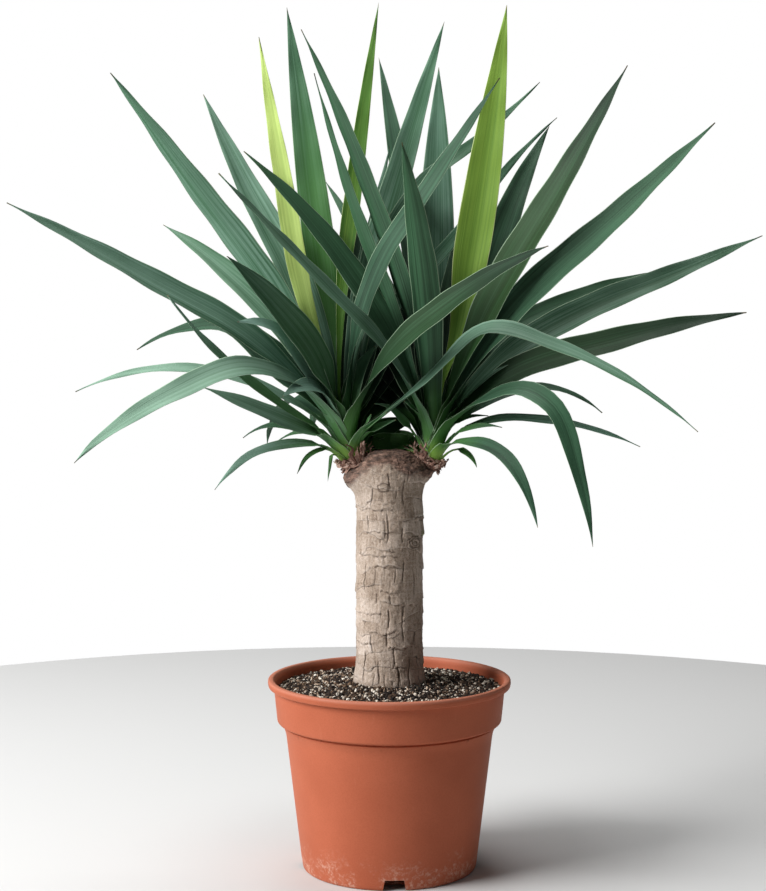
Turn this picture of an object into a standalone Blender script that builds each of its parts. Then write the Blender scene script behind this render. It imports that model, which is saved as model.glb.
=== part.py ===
"""A potted yucca: a thick cut cane with two leafy heads, standing in soil in a plastic nursery pot.

Metres, +Z up. The origin is the centre of the pot's underside, and -Y is the plant's front.
"""

import math
import random
from collections import namedtuple

import bmesh
import bpy
import numpy as np
from mathutils import Vector, noise

# Pot: a thin plastic shell with a rolled rim, a wide collar and a tapered body
POT_HEIGHT = 0.149
RIM_RADIUS = 0.095
RIM_BEAD_HEIGHT = 0.006
RIM_LIP = 0.0042
COLLAR_TOP_RADIUS = 0.0902
COLLAR_FOOT_RADIUS = 0.0878
COLLAR_FOOT_Z = 0.116
BODY_TOP_RADIUS = 0.081
BODY_TOP_Z = 0.1075
BASE_RADIUS = 0.0685
POT_WALL = 0.002
FLOOR_DISC_RADIUS = 0.058
CHANNEL_ROOF_Z = 0.0045
NOTCH_COUNT = 4
NOTCH_WIDTH = 0.0165
NOTCH_HEIGHT = 0.0075
NOTCH_DEPTH = 0.012
NOTCH_TURN = 2
POT_STEPS = 48

# Gap left between pieces that touch
GAP = 0.0003

# Cane: a cut trunk, buried at its foot, with a shoulder on each side that carries a head
CANE_RADIUS = 0.0262
CANE_FOOT_RADIUS = 0.0289
CANE_BOTTOM_Z = 0.060
CANE_TOP_Z = 0.3275
CANE_ROUND_OVER = 0.016
CANE_SIDES = 26
FLARE_HEIGHT = 0.011
BARK_RELIEF = 0.0009
SHOULDER_HEIGHT = 0.013

# Soil: fills the pot to just under the rim and rises a little to the cane
SOIL_WALL_Z = 0.1405
SOIL_CANE_Z = 0.1465
SOIL_CLODS = 0.0016
SOIL_RINGS = 7
SOIL_EVEN_EDGE = 0.006
SOIL_RADIUS = COLLAR_TOP_RADIUS - POT_WALL - 3 * GAP
CANE_HOLE_RADIUS = CANE_FOOT_RADIUS + GAP

# Seats on the shoulders, where the heads grow
SEAT_Z = 0.3147
SEAT_RADIUS = 0.0103
SEAT_CONE_DEPTH = 0.014
SEAT_CONE_SIDES = 20
SEAT_ROOM = 0.0022
SEAT_ROOM_HEIGHT = 0.022
SEAT_ROOM_TOP_RADIUS = 0.025

# Heads: a green core of clasping leaf bases, with the leaves round it
Head = namedtuple("Head", "name foot_x lean shoulder_reach shoulder_z seed back_turn back_spread")
LEFT_HEAD = Head("left", -0.0300, -0.17, 0.0065, 0.3055, 5, 80, 42)
RIGHT_HEAD = Head("right", 0.0325, 0.05, 0.0115, 0.3150, 8, 72, 34)
FOOT_Z = SEAT_Z + GAP
CORE_HEIGHT = 0.050
CORE_FOOT_RADIUS = 0.0068
CORE_WAIST_RADIUS = 0.0105
CORE_TOP_RADIUS = 0.0050
CORE_STEPS = 18
BUD_RADIUS = 0.0024
BUD_TIP_RADIUS = 0.0012
BUD_HEIGHT = 0.010
BUD_SIDES = 10

# Leaves: channelled blades, narrow at the neck, widest in the middle and drawn out to a point
BLADE_EDGE = 0.0007
BLADE_RIB = 0.0011
STATION_LENGTH = 0.050
FEWEST_STATIONS = 5
NECK_SHARE = 0.58
YOUNG_NECK_SHARE = 0.20
WIDEST_AT = 0.42
TIP_SHARE = 0.045
FOLD_AT_NECK = 34
FOLD_AT_MIDDLE = 13
FOLD_OPENS_BY = 0.3
FRONT_TURN = 52
ROOT_REACH = 0.004
YOUNG_ROOT_HEIGHT = CORE_HEIGHT + GAP + 0.003
LOWEST_ROOT = 0.010
ROOT_RISE = 0.026

# Leaves at the back, where each head is seen only past the others, by a rule
BACK_LEAVES = 11
GOLDEN_ANGLE = 137.508
BACK_STEEPEST = 74
BACK_FLATTEST = 22
BACK_DROOP_STEEP = 12
BACK_DROOP_FLAT = 82
BACK_SHORTEST = 0.165
BACK_LONGEST = 0.240
BACK_NARROWEST = 0.017
BACK_WIDEST = 0.024

# Dry brown bases of old leaves, in a ring round each head's foot
SCALE_RING_HEIGHT = 0.0055
SCALE_RING_INSIDE = CORE_FOOT_RADIUS + 0.0014 + GAP
SCALE_RING_WALL = 0.0017
SCALE_RING_STEPS = 16
SCALE_COUNT = 9
SCALE_SHORTEST = 0.007
SCALE_INNER_EXTRA = 0.004
SCALE_WIDTH = 0.0070
SCALE_THICKNESS = 0.0008
SCALE_ROOT_Z = 0.0015

# Colours and finishes
TERRACOTTA = (0.42, 0.13, 0.07, 1.0)
SOIL_BROWN = (0.035, 0.022, 0.015, 1.0)
BARK_TAN = (0.36, 0.27, 0.20, 1.0)
LEAF_GREEN = (0.07, 0.19, 0.10, 1.0)
YOUNG_GREEN = (0.26, 0.42, 0.07, 1.0)
SCALE_BROWN = (0.27, 0.15, 0.09, 1.0)

# A leaf: the way it points seen from above in degrees (0 to the right, 90 to the back, 180 to the left),
# its full width, points on its midrib as (reach, height) from the foot of its head, how far its blade is
# rolled about the midrib in degrees (None: turned to the front), and how fast it narrows to its point.
Leaf = namedtuple("Leaf", "turn width route roll taper", defaults=(None, 1.9))

LEFT_LEAVES = (
    # tall leaves that rise to the left and the middle
    Leaf(195, 0.032, ((0.046, 0.119), (0.119, 0.219), (0.178, 0.296))),
    Leaf(192, 0.025, ((0.071, 0.099), (0.147, 0.143), (0.255, 0.200))),
    Leaf(155, 0.024, ((0.036, 0.089), (0.102, 0.151), (0.163, 0.190))),
    Leaf(220, 0.026, ((0.029, 0.089), (0.060, 0.121), (0.110, 0.160))),
    Leaf(147, 0.026, ((0.048, 0.151), (0.094, 0.222), (0.137, 0.295))),
    Leaf(115, 0.026, ((0.037, 0.137), (0.079, 0.266), (0.115, 0.369))),
    Leaf(62, 0.012, ((0.026, 0.140), (0.055, 0.204), (0.077, 0.253))),
    Leaf(48, 0.024, ((0.033, 0.152), (0.069, 0.240), (0.120, 0.355))),
    Leaf(12, 0.016, ((0.012, 0.074), (0.025, 0.093))),
    # long leaves that cross to the right
    Leaf(-37, 0.019, ((0.041, 0.166), (0.069, 0.199), (0.143, 0.287))),
    Leaf(34, 0.015, ((0.021, 0.127), (0.072, 0.219), (0.127, 0.257), (0.193, 0.309))),
    Leaf(25, 0.012, ((0.031, 0.106), (0.099, 0.182), (0.152, 0.244), (0.189, 0.277))),
    Leaf(-48, 0.023, ((0.037, 0.075), (0.119, 0.128), (0.213, 0.164))),
    Leaf(-28, 0.016, ((0.067, 0.066), (0.122, 0.108), (0.173, 0.096), (0.283, 0.035)), None, 1.3),
    # arching and drooping leaves on the left
    Leaf(205, 0.018, ((0.035, 0.080), (0.057, 0.107), (0.088, 0.112))),
    Leaf(172, 0.030, ((0.057, 0.084), (0.095, 0.110), (0.128, 0.107), (0.166, 0.090)), None, 0.8),
    Leaf(200, 0.009, ((0.064, 0.057), (0.101, 0.087), (0.141, 0.132))),
    Leaf(215, 0.022, ((0.038, 0.063), (0.087, 0.079), (0.150, 0.061), (0.232, 0.013))),
    Leaf(188, 0.010, ((0.063, 0.062), (0.124, 0.077), (0.207, 0.059))),
    Leaf(200, 0.015, ((0.038, 0.032), (0.115, 0.063))),
    Leaf(225, 0.020, ((0.010, 0.040), (0.024, 0.060), (0.064, 0.056))),
    # small old leaves at the foot
    Leaf(180, 0.007, ((0.036, 0.029), (0.060, 0.032), (0.081, 0.022))),
    Leaf(160, 0.007, ((0.031, 0.027), (0.059, 0.018))),
    Leaf(205, 0.009, ((0.047, 0.019), (0.080, 0.012), (0.112, -0.014))),
    Leaf(210, 0.005, ((0.024, 0.014), (0.036, 0.009), (0.047, -0.004))),
    Leaf(232, 0.005, ((0.016, 0.015), (0.024, 0.004), (0.028, -0.010))),
    Leaf(-30, 0.007, ((0.012, 0.028), (0.023, 0.041))),
    Leaf(-35, 0.008, ((0.025, 0.034), (0.038, 0.043))),
    Leaf(-25, 0.008, ((0.026, 0.031), (0.042, 0.037))),
    # dark leaves behind, in the gap between the heads
    Leaf(56, 0.022, ((0.040, 0.046), (0.085, 0.074)), 40),
    Leaf(70, 0.022, ((0.035, 0.075), (0.082, 0.130)), 35),
    Leaf(40, 0.018, ((0.036, 0.028), (0.070, 0.034)), 45),
)

LEFT_YOUNG_LEAVES = (
    Leaf(154, 0.022, ((0.027, 0.121), (0.050, 0.230), (0.070, 0.334))),
    Leaf(76, 0.014, ((0.009, 0.135), (0.045, 0.217), (0.126, 0.376))),
)

RIGHT_LEAVES = (
    # leaves that cross to the left
    Leaf(205, 0.020, ((0.042, 0.093), (0.088, 0.137), (0.175, 0.220))),
    Leaf(174, 0.023, ((0.022, 0.079), (0.068, 0.157), (0.148, 0.244))),
    Leaf(166, 0.023, ((0.012, 0.090), (0.057, 0.222), (0.106, 0.339))),
    Leaf(106.5, 0.021, ((0.021, 0.106), (0.089, 0.235), (0.150, 0.334))),
    Leaf(125, 0.016, ((0.018, 0.074), (0.079, 0.154), (0.153, 0.230))),
    Leaf(112, 0.014, ((0.020, 0.097), (0.066, 0.166))),
    # tall leaves in the middle
    Leaf(86.6, 0.031, ((0.042, 0.100), (0.083, 0.221), (0.130, 0.324))),
    Leaf(255, 0.026, ((0.015, 0.100), (0.050, 0.175), (0.099, 0.240))),
    Leaf(52, 0.028, ((0.062, 0.129), (0.116, 0.219), (0.163, 0.275))),
    # long leaves that rise to the right
    Leaf(-5, 0.031, ((0.040, 0.120), (0.098, 0.220), (0.147, 0.306))),
    Leaf(-6, 0.030, ((0.051, 0.113), (0.137, 0.194), (0.213, 0.262))),
    Leaf(4, 0.025, ((0.052, 0.082), (0.122, 0.123), (0.179, 0.146), (0.258, 0.179))),
    Leaf(28, 0.020, ((0.054, 0.095), (0.129, 0.130), (0.213, 0.153))),
    Leaf(-8, 0.026, ((0.052, 0.068), (0.143, 0.099), (0.238, 0.119))),
    # arching and drooping leaves on the right
    Leaf(30, 0.013, ((0.045, 0.093), (0.064, 0.104), (0.098, 0.082))),
    Leaf(12, 0.009, ((0.048, 0.052), (0.092, 0.061), (0.138, 0.040))),
    Leaf(-15, 0.008, ((0.047, 0.037), (0.094, 0.037), (0.161, 0.018))),
    Leaf(-40, 0.021, ((0.046, 0.052), (0.089, 0.062), (0.113, 0.050), (0.133, 0.012), (0.150, -0.051))),
    Leaf(-55, 0.014, ((0.052, 0.022), (0.091, 0.013), (0.129, -0.036))),
    # small old leaves at the foot
    Leaf(-30, 0.006, ((0.026, 0.029), (0.044, 0.033), (0.060, 0.032))),
    Leaf(-20, 0.006, ((0.026, 0.038), (0.045, 0.040))),
    Leaf(-20, 0.006, ((0.022, 0.014), (0.031, 0.009), (0.037, 0.000))),
    Leaf(200, 0.007, ((0.007, 0.032), (0.013, 0.042), (0.024, 0.051))),
    Leaf(188, 0.008, ((0.018, 0.031), (0.036, 0.047), (0.046, 0.049))),
    Leaf(150, 0.009, ((0.017, 0.070), (0.028, 0.082))),
    # dark leaves behind, in the gap between the heads
    Leaf(116, 0.024, ((0.030, 0.100), (0.072, 0.180)), -35),
    Leaf(128, 0.022, ((0.026, 0.090), (0.058, 0.126)), -40),
)

RIGHT_YOUNG_LEAVES = (
    Leaf(47, 0.030, ((0.025, 0.097), (0.044, 0.168), (0.071, 0.287), (0.086, 0.364))),
)


def clear_scene():
    for obj in list(bpy.data.objects):
        bpy.data.objects.remove(obj, do_unlink=True)


def new_collection(name):
    collection = bpy.data.collections.new(name)
    bpy.context.scene.collection.children.link(collection)
    return collection


def finish_material(name, colour, roughness):
    material = bpy.data.materials.new(name)
    material.use_nodes = True
    shader = material.node_tree.nodes["Principled BSDF"]
    shader.inputs["Base Color"].default_value = colour
    shader.inputs["Roughness"].default_value = roughness
    shader.inputs["Metallic"].default_value = 0.0
    return material


def give_material(obj, material):
    obj.data.materials.clear()
    obj.data.materials.append(material)


def mesh_object(name, points, faces, collection):
    mesh = bpy.data.meshes.new(name)
    mesh.from_pydata([tuple(point) for point in points], [], faces)
    mesh.validate()
    obj = bpy.data.objects.new(name, mesh)
    collection.objects.link(obj)
    return obj


def bmesh_object(name, shape, collection):
    mesh = bpy.data.meshes.new(name)
    shape.to_mesh(mesh)
    shape.free()
    obj = bpy.data.objects.new(name, mesh)
    collection.objects.link(obj)
    return obj


def apply_modifiers(obj):
    graph = bpy.context.evaluated_depsgraph_get()
    mesh = bpy.data.meshes.new_from_object(obj.evaluated_get(graph))
    obj.modifiers.clear()
    old = obj.data
    obj.data = mesh
    bpy.data.meshes.remove(old)


def turned(name, profile, steps, collection):
    """A profile of (radius, height) points turned round the Z axis, closed where it meets the axis."""
    points = [(radius, 0, height) for radius, height in profile]
    edges = [(i, i + 1) for i in range(len(points) - 1)]
    mesh = bpy.data.meshes.new(name)
    mesh.from_pydata(points, edges, [])
    obj = bpy.data.objects.new(name, mesh)
    collection.objects.link(obj)
    screw = obj.modifiers.new("Screw", "SCREW")
    screw.steps = steps
    screw.render_steps = steps
    screw.use_merge_vertices = True
    screw.merge_threshold = 0.00001
    screw.use_smooth_shade = False
    apply_modifiers(obj)
    return obj


def tapered_cylinder(name, radii, heights, centre_x, sides, collection):
    """An upright cylinder or cone, from its (lower, upper) radii and its (lower, upper) heights."""
    shape = bmesh.new()
    bmesh.ops.create_cone(
        shape,
        cap_ends=True,
        segments=sides,
        radius1=radii[0],
        radius2=radii[1],
        depth=heights[1] - heights[0],
    )
    bmesh.ops.translate(shape, verts=shape.verts, vec=(centre_x, 0, (heights[0] + heights[1]) / 2))
    return bmesh_object(name, shape, collection)


def keep_largest_shell(obj):
    """Fills the small hollows that a union sealed, and drops loose scraps."""
    shape = bmesh.new()
    shape.from_mesh(obj.data)
    left = set(shape.faces)
    shells = []
    while left:
        shell = [left.pop()]
        for face in shell:
            for edge in face.edges:
                for other in edge.link_faces:
                    if other in left:
                        left.remove(other)
                        shell.append(other)
        shells.append(shell)
    shells.sort(key=len)
    for shell in shells[:-1]:
        bmesh.ops.delete(shape, geom=shell, context="FACES")
    shape.to_mesh(obj.data)
    shape.free()


def boolean(obj, operation, collection):
    """Joins or cuts with every object of a collection, applies it and removes those objects."""
    bpy.context.view_layer.update()
    modifier = obj.modifiers.new(operation.title(), "BOOLEAN")
    modifier.operation = operation
    modifier.operand_type = "COLLECTION"
    modifier.collection = collection
    modifier.solver = "EXACT"
    apply_modifiers(obj)
    keep_largest_shell(obj)
    for other in list(collection.objects):
        bpy.data.objects.remove(other, do_unlink=True)
    bpy.data.collections.remove(collection)


def tube_faces(rings, sides):
    """Triangles between rings of points from the bottom up, closed by a flat face at each end."""
    faces = []
    for ring in range(rings - 1):
        for side in range(sides):
            a = ring * sides + side
            b = ring * sides + (side + 1) % sides
            faces += [(a, b, b + sides), (a, b + sides, a + sides)]
    top = (rings - 1) * sides
    faces.append(tuple(range(sides))[::-1])
    faces.append(tuple(top + side for side in range(sides)))
    return faces


def pot_outside():
    """The pot's profile down its outer side, round the foot and in to the middle of its underside."""
    bead_foot = POT_HEIGHT - RIM_BEAD_HEIGHT
    return [
        (RIM_RADIUS - 0.0018, POT_HEIGHT),
        (RIM_RADIUS - 0.0004, POT_HEIGHT - 0.0010),
        (RIM_RADIUS, POT_HEIGHT - 0.0030),
        (RIM_RADIUS - 0.0012, bead_foot),
        (COLLAR_TOP_RADIUS, bead_foot - 0.0004),
        (COLLAR_FOOT_RADIUS, COLLAR_FOOT_Z + 0.0010),
        (COLLAR_FOOT_RADIUS - 0.0012, COLLAR_FOOT_Z - 0.0006),
        (BODY_TOP_RADIUS + 0.0008, BODY_TOP_Z + 0.0010),
        (BODY_TOP_RADIUS, BODY_TOP_Z - 0.0010),
        (BASE_RADIUS, 0.0015),
        (BASE_RADIUS - 0.0012, 0.0),
        (BASE_RADIUS - POT_WALL, 0.0),
        (BASE_RADIUS - POT_WALL, CHANNEL_ROOF_Z),
        (FLOOR_DISC_RADIUS + 0.003, CHANNEL_ROOF_Z),
        (FLOOR_DISC_RADIUS, 0.0),
        (0.0, 0.0),
    ]


def pot_inside(shrink=0.0):
    """The inner side from the floor's middle up to the collar's foot, moved inwards by shrink."""
    wall = POT_WALL + shrink
    return [
        (0.0, wall),
        (FLOOR_DISC_RADIUS - 0.002 - shrink, wall),
        (FLOOR_DISC_RADIUS + 0.001 - shrink, CHANNEL_ROOF_Z + wall),
        (BASE_RADIUS + 0.0008 - wall, CHANNEL_ROOF_Z + wall),
        (BODY_TOP_RADIUS - wall, BODY_TOP_Z + shrink),
        (COLLAR_FOOT_RADIUS - wall, COLLAR_FOOT_Z + 0.0014 + shrink),
    ]


def make_pot(collection, material):
    rim_inside = [
        (COLLAR_TOP_RADIUS - POT_WALL + 0.0006, POT_HEIGHT - 0.0035),
        (RIM_RADIUS - RIM_LIP, POT_HEIGHT - 0.0004),
    ]
    profile = pot_outside() + pot_inside() + rim_inside
    pot = turned("pot", profile + [profile[0]], POT_STEPS, collection)
    cutters = new_collection("notch_cutters")
    for number in range(NOTCH_COUNT):
        shape = bmesh.new()
        bmesh.ops.create_cube(shape, size=1.0)
        bmesh.ops.scale(shape, vec=(NOTCH_WIDTH, NOTCH_DEPTH, 2 * NOTCH_HEIGHT), verts=shape.verts)
        bmesh.ops.translate(shape, vec=(0, -BASE_RADIUS, 0), verts=shape.verts)
        cutter = bmesh_object(f"notch_cutter_{number}", shape, cutters)
        cutter.rotation_euler.z = math.radians(NOTCH_TURN) + number * math.tau / NOTCH_COUNT
    boolean(pot, "DIFFERENCE", cutters)
    give_material(pot, material)
    return pot


def soil_height(x, y):
    """The soil's top: a little higher at the cane than at the wall, cloddy, and even along both edges."""
    radius = math.hypot(x, y)
    inward = (SOIL_RADIUS - radius) / (SOIL_RADIUS - CANE_HOLE_RADIUS)
    clods = noise.noise(Vector((x, y, 0)) * 90) + 0.6 * noise.noise(Vector((x, y, 0.3)) * 210)
    uneven = min(1.0, (SOIL_RADIUS - radius) / SOIL_EVEN_EDGE, (radius - CANE_HOLE_RADIUS) / SOIL_EVEN_EDGE)
    rise = (SOIL_CANE_Z - SOIL_WALL_Z) * max(0.0, inward) ** 1.5
    return SOIL_WALL_Z + rise + SOIL_CLODS * clods * max(0.0, uneven)


def make_soil(collection, material):
    """The soil: out and up along the pot's inside, in over its top, and down the hole that the cane fills."""
    angles = np.arange(POT_STEPS) * math.tau / POT_STEPS
    points = []
    for radius, height in pot_inside(GAP)[1:]:
        points += [(radius * math.cos(t), radius * math.sin(t), height) for t in angles]
    for radius in np.linspace(SOIL_RADIUS, CANE_HOLE_RADIUS, SOIL_RINGS):
        for t in angles:
            x = radius * math.cos(t)
            y = radius * math.sin(t)
            points.append((x, y, soil_height(x, y)))
    hole_z = CANE_BOTTOM_Z - GAP
    points += [(CANE_HOLE_RADIUS * math.cos(t), CANE_HOLE_RADIUS * math.sin(t), hole_z) for t in angles]
    faces = tube_faces(len(points) // POT_STEPS, POT_STEPS)
    soil = mesh_object("soil", points, faces, collection)
    give_material(soil, material)
    return soil


def cane_radius(height):
    """The cane's plain radius at a height: flared at the soil, even above it, and rounded over at the top."""
    above_soil = height - SOIL_CANE_Z
    plain = CANE_RADIUS + (CANE_FOOT_RADIUS - CANE_RADIUS) * min(1.0, math.exp(-above_soil / FLARE_HEIGHT))
    from_top = max(0.0, CANE_TOP_Z - height)
    return plain * min(1.0, from_top / CANE_ROUND_OVER) ** 0.45


def shoulder(head, angle, height):
    """How far a head's shoulder stands out of the cane at an angle round it and a height."""
    facing = math.cos(angle) * math.copysign(1.0, head.foot_x)
    level = (height - head.shoulder_z) / SHOULDER_HEIGHT
    return head.shoulder_reach * max(0.0, facing) ** 3 * math.exp(-(level**2))


def make_cane(collection, material):
    heights = [CANE_BOTTOM_Z, SOIL_CANE_Z - 0.010]
    heights += list(np.linspace(SOIL_CANE_Z - 0.003, 0.285, 10))
    heights += list(np.linspace(0.293, CANE_TOP_Z - 0.001, 7))
    points = []
    for height in heights:
        bare = min(1.0, max(0.0, (height - SOIL_CANE_Z) / 0.01))
        for side in range(CANE_SIDES):
            angle = side * math.tau / CANE_SIDES
            place = Vector((math.cos(angle) * 2.2, math.sin(angle) * 2.2, height * 70))
            radius = cane_radius(height) + bare * BARK_RELIEF * (noise.noise(place) - 0.2)
            for head in (LEFT_HEAD, RIGHT_HEAD):
                radius += bare * shoulder(head, angle, height)
            points.append((radius * math.cos(angle), radius * math.sin(angle), height))
    cane = mesh_object("cane", points, tube_faces(len(heights), CANE_SIDES), collection)
    cones = new_collection("seat_cones")
    cutters = new_collection("seat_cutters")
    for head in (LEFT_HEAD, RIGHT_HEAD):
        cone_radii = (SEAT_RADIUS / 4, SEAT_RADIUS)
        cone_heights = (SEAT_Z - SEAT_CONE_DEPTH, SEAT_Z)
        room_radii = (SEAT_RADIUS + SEAT_ROOM, SEAT_ROOM_TOP_RADIUS)
        room_heights = (SEAT_Z, SEAT_Z + SEAT_ROOM_HEIGHT)
        tapered_cylinder(f"{head.name}_cone", cone_radii, cone_heights, head.foot_x, SEAT_CONE_SIDES, cones)
        tapered_cylinder(f"{head.name}_cutter", room_radii, room_heights, head.foot_x, SEAT_CONE_SIDES, cutters)
    boolean(cane, "UNION", cones)
    boolean(cane, "DIFFERENCE", cutters)
    give_material(cane, material)
    return cane


def smooth_route(points, count):
    """Places evenly along a smooth curve through the points, as rows of a matrix."""
    points = np.array(points, float)
    chords = np.linalg.norm(np.diff(points, axis=0), axis=1)
    knots = np.concatenate([[0.0], np.cumsum(chords)])
    slopes = np.gradient(points, knots, axis=0, edge_order=2)
    fine = []
    for i, step in enumerate(chords):
        for t in np.linspace(0, 1, 16):
            fine.append(
                (2 * t**3 - 3 * t**2 + 1) * points[i]
                + (t**3 - 2 * t**2 + t) * step * slopes[i]
                + (3 * t**2 - 2 * t**3) * points[i + 1]
                + (t**3 - t**2) * step * slopes[i + 1]
            )
    fine = np.array(fine)
    run = np.concatenate([[0.0], np.cumsum(np.linalg.norm(np.diff(fine, axis=0), axis=1))])
    wanted = np.linspace(0, run[-1], count)
    return np.stack([np.interp(wanted, run, fine[:, axis]) for axis in range(points.shape[1])], -1)


def root_height(leaf, young):
    """Upright leaves leave the core near its top, lying ones near its foot, and young ones the bud on it."""
    if young:
        return YOUNG_ROOT_HEIGHT
    reach, height = leaf.route[0]
    rise = math.atan2(max(height - 0.015, 0.0), reach)
    return LOWEST_ROOT + ROOT_RISE * rise / (math.pi / 2)


def width_share(along, neck, taper):
    """The blade's width along it, as a share of its full width."""
    opening = min(1.0, along / WIDEST_AT)
    swell = neck + (1 - neck) * (3 * opening**2 - 2 * opening**3)
    closing = max(0.0, along - WIDEST_AT) / (1 - WIDEST_AT)
    return max(TIP_SHARE, swell * (1 - closing**taper))


def fold_angle(along):
    """How far each half of the blade is folded up from flat, in radians."""
    closed = max(0.0, 1 - along / FOLD_OPENS_BY)
    return math.radians(FOLD_AT_MIDDLE + (FOLD_AT_NECK - FOLD_AT_MIDDLE) * closed)


def blade(head, leaf, young=False):
    """The points and triangles of one leaf, as a closed blade of six-sided sections."""
    start = root_height(leaf, young)
    root = (0.0 if young else ROOT_REACH, start)
    count = max(FEWEST_STATIONS, round(math.dist(root, leaf.route[-1]) / STATION_LENGTH) + 2)
    path = smooth_route([root, *leaf.route], count)
    foot = Vector((head.foot_x + head.lean * start, 0, FOOT_Z))
    turn = math.radians(leaf.turn)
    outward = Vector((math.cos(turn), math.sin(turn), 0))
    side = Vector((-math.sin(turn), math.cos(turn), 0))
    roll = math.radians(FRONT_TURN * math.cos(turn) if leaf.roll is None else leaf.roll)
    neck = YOUNG_NECK_SHARE if young else NECK_SHARE
    points = []
    for i, (reach, height) in enumerate(path):
        along = i / (count - 1)
        step = path[min(i + 1, count - 1)] - path[max(i - 1, 0)]
        run = (outward * step[0] + Vector((0, 0, step[1]))).normalized()
        face = run.cross(side)
        turned_by = roll * min(1.0, along / FOLD_OPENS_BY)
        across = side * math.cos(turned_by) + face * math.sin(turned_by)
        up = face * math.cos(turned_by) - side * math.sin(turned_by)
        centre = foot + outward * reach + Vector((0, 0, height))
        half = leaf.width * width_share(along, neck, leaf.taper) / 2
        out = across * half * math.cos(fold_angle(along))
        lift = up * half * math.sin(fold_angle(along)) / 2
        thin = up * BLADE_EDGE / 2
        thick = up * BLADE_RIB / 2
        points += [
            centre - out + lift + thin,
            centre - lift + thick,
            centre + out + lift + thin,
            centre + out + lift - thin,
            centre - lift - thick,
            centre - out + lift - thin,
        ]
    return points, blade_faces(count)


def blade_faces(count):
    """Triangles between six-sided sections, split alike on the upper and the lower face."""
    lower = (3, 4)
    faces = []
    for section in range(count - 1):
        for side in range(6):
            a = 6 * section + side
            b = 6 * section + (side + 1) % 6
            if side in lower:
                faces += [(a, a + 6, b), (b, a + 6, b + 6)]
            else:
                faces += [(a, b + 6, b), (a, a + 6, b + 6)]
    end = [(0, 5, 4), (0, 4, 1), (1, 4, 3), (1, 3, 2)]
    last = 6 * (count - 1)
    faces += [face[::-1] for face in end]
    faces += [(a + last, b + last, c + last) for a, b, c in end]
    return faces


def back_leaves(head):
    """The leaves behind each head, spread by the golden angle, steep ones first and drooping ones last."""
    draw = random.Random(head.seed)
    leaves = []
    for number in range(BACK_LEAVES):
        share = (number + 0.5) / BACK_LEAVES
        turn = head.back_turn + (number * GOLDEN_ANGLE) % head.back_spread
        rise = math.radians(BACK_STEEPEST + (BACK_FLATTEST - BACK_STEEPEST) * share + draw.uniform(-4, 4))
        droop = math.radians(BACK_DROOP_STEEP + (BACK_DROOP_FLAT - BACK_DROOP_STEEP) * share)
        length = BACK_SHORTEST + (BACK_LONGEST - BACK_SHORTEST) * share + draw.uniform(-0.012, 0.012)
        reach = 0.002
        height = 0.036 - 0.022 * share
        route = []
        for step in range(3):
            angle = rise - droop * ((step + 0.5) / 3) ** 1.5
            reach += length / 3 * math.cos(angle)
            height += length / 3 * math.sin(angle)
            route.append((reach, height))
        width = draw.uniform(BACK_NARROWEST, BACK_WIDEST)
        leaves.append(Leaf(turn, width, tuple(route), draw.uniform(-25, 25)))
    return leaves


def lean_over(obj, head):
    """Moves a piece made at the origin to a head's foot, leaning as the head does."""
    for vertex in obj.data.vertices:
        vertex.co.x += head.foot_x + head.lean * vertex.co.z
        vertex.co.z += FOOT_Z


def fuse_leaves(body, head, leaves, young=False):
    blades = new_collection(f"{body.name}_blades")
    for number, leaf in enumerate(leaves):
        points, faces = blade(head, leaf, young)
        mesh_object(f"{body.name}_blade_{number}", points, faces, blades)
    boolean(body, "UNION", blades)


def make_head(head, leaves, collection, material):
    """A head of green leaves: the core and every leaf, fused."""
    profile = [
        (0.0, CORE_HEIGHT),
        (CORE_TOP_RADIUS, CORE_HEIGHT),
        (CORE_WAIST_RADIUS - 0.001, CORE_HEIGHT * 0.72),
        (CORE_WAIST_RADIUS, CORE_HEIGHT * 0.35),
        (CORE_FOOT_RADIUS + 0.001, 0.004),
        (CORE_FOOT_RADIUS, 0.0),
        (0.0, 0.0),
    ]
    core = turned(f"{head.name}_head", profile, CORE_STEPS, collection)
    lean_over(core, head)
    fuse_leaves(core, head, list(leaves) + back_leaves(head))
    give_material(core, material)
    return core


def make_young_leaves(head, leaves, collection, material):
    """The yellow-green leaves at the heart of a head, on the bud that stands on its core."""
    low = CORE_HEIGHT + GAP
    radii = (BUD_RADIUS, BUD_TIP_RADIUS)
    bud = tapered_cylinder(f"{head.name}_young_leaves", radii, (low, low + BUD_HEIGHT), 0, BUD_SIDES, collection)
    lean_over(bud, head)
    fuse_leaves(bud, head, leaves, young=True)
    give_material(bud, material)
    return bud


def scale_plate(radius, angle, height, lean_out, width):
    """One dry scale: a thin pointed plate that rises from the ring and leans outwards."""
    outward = Vector((math.cos(angle), math.sin(angle), 0))
    side = Vector((-math.sin(angle), math.cos(angle), 0))
    points = []
    for share, wide in ((0.0, 1.0), (0.55, 0.8), (1.0, 0.15)):
        reach = radius + lean_out * share**1.4 * height
        centre = outward * reach + Vector((0, 0, SCALE_ROOT_Z + share * height))
        half = side * width * wide / 2
        thin = outward * SCALE_THICKNESS / 2
        points += [centre - half + thin, centre + half + thin, centre + half - thin, centre - half - thin]
    return points, tube_faces(3, 4)


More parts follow.
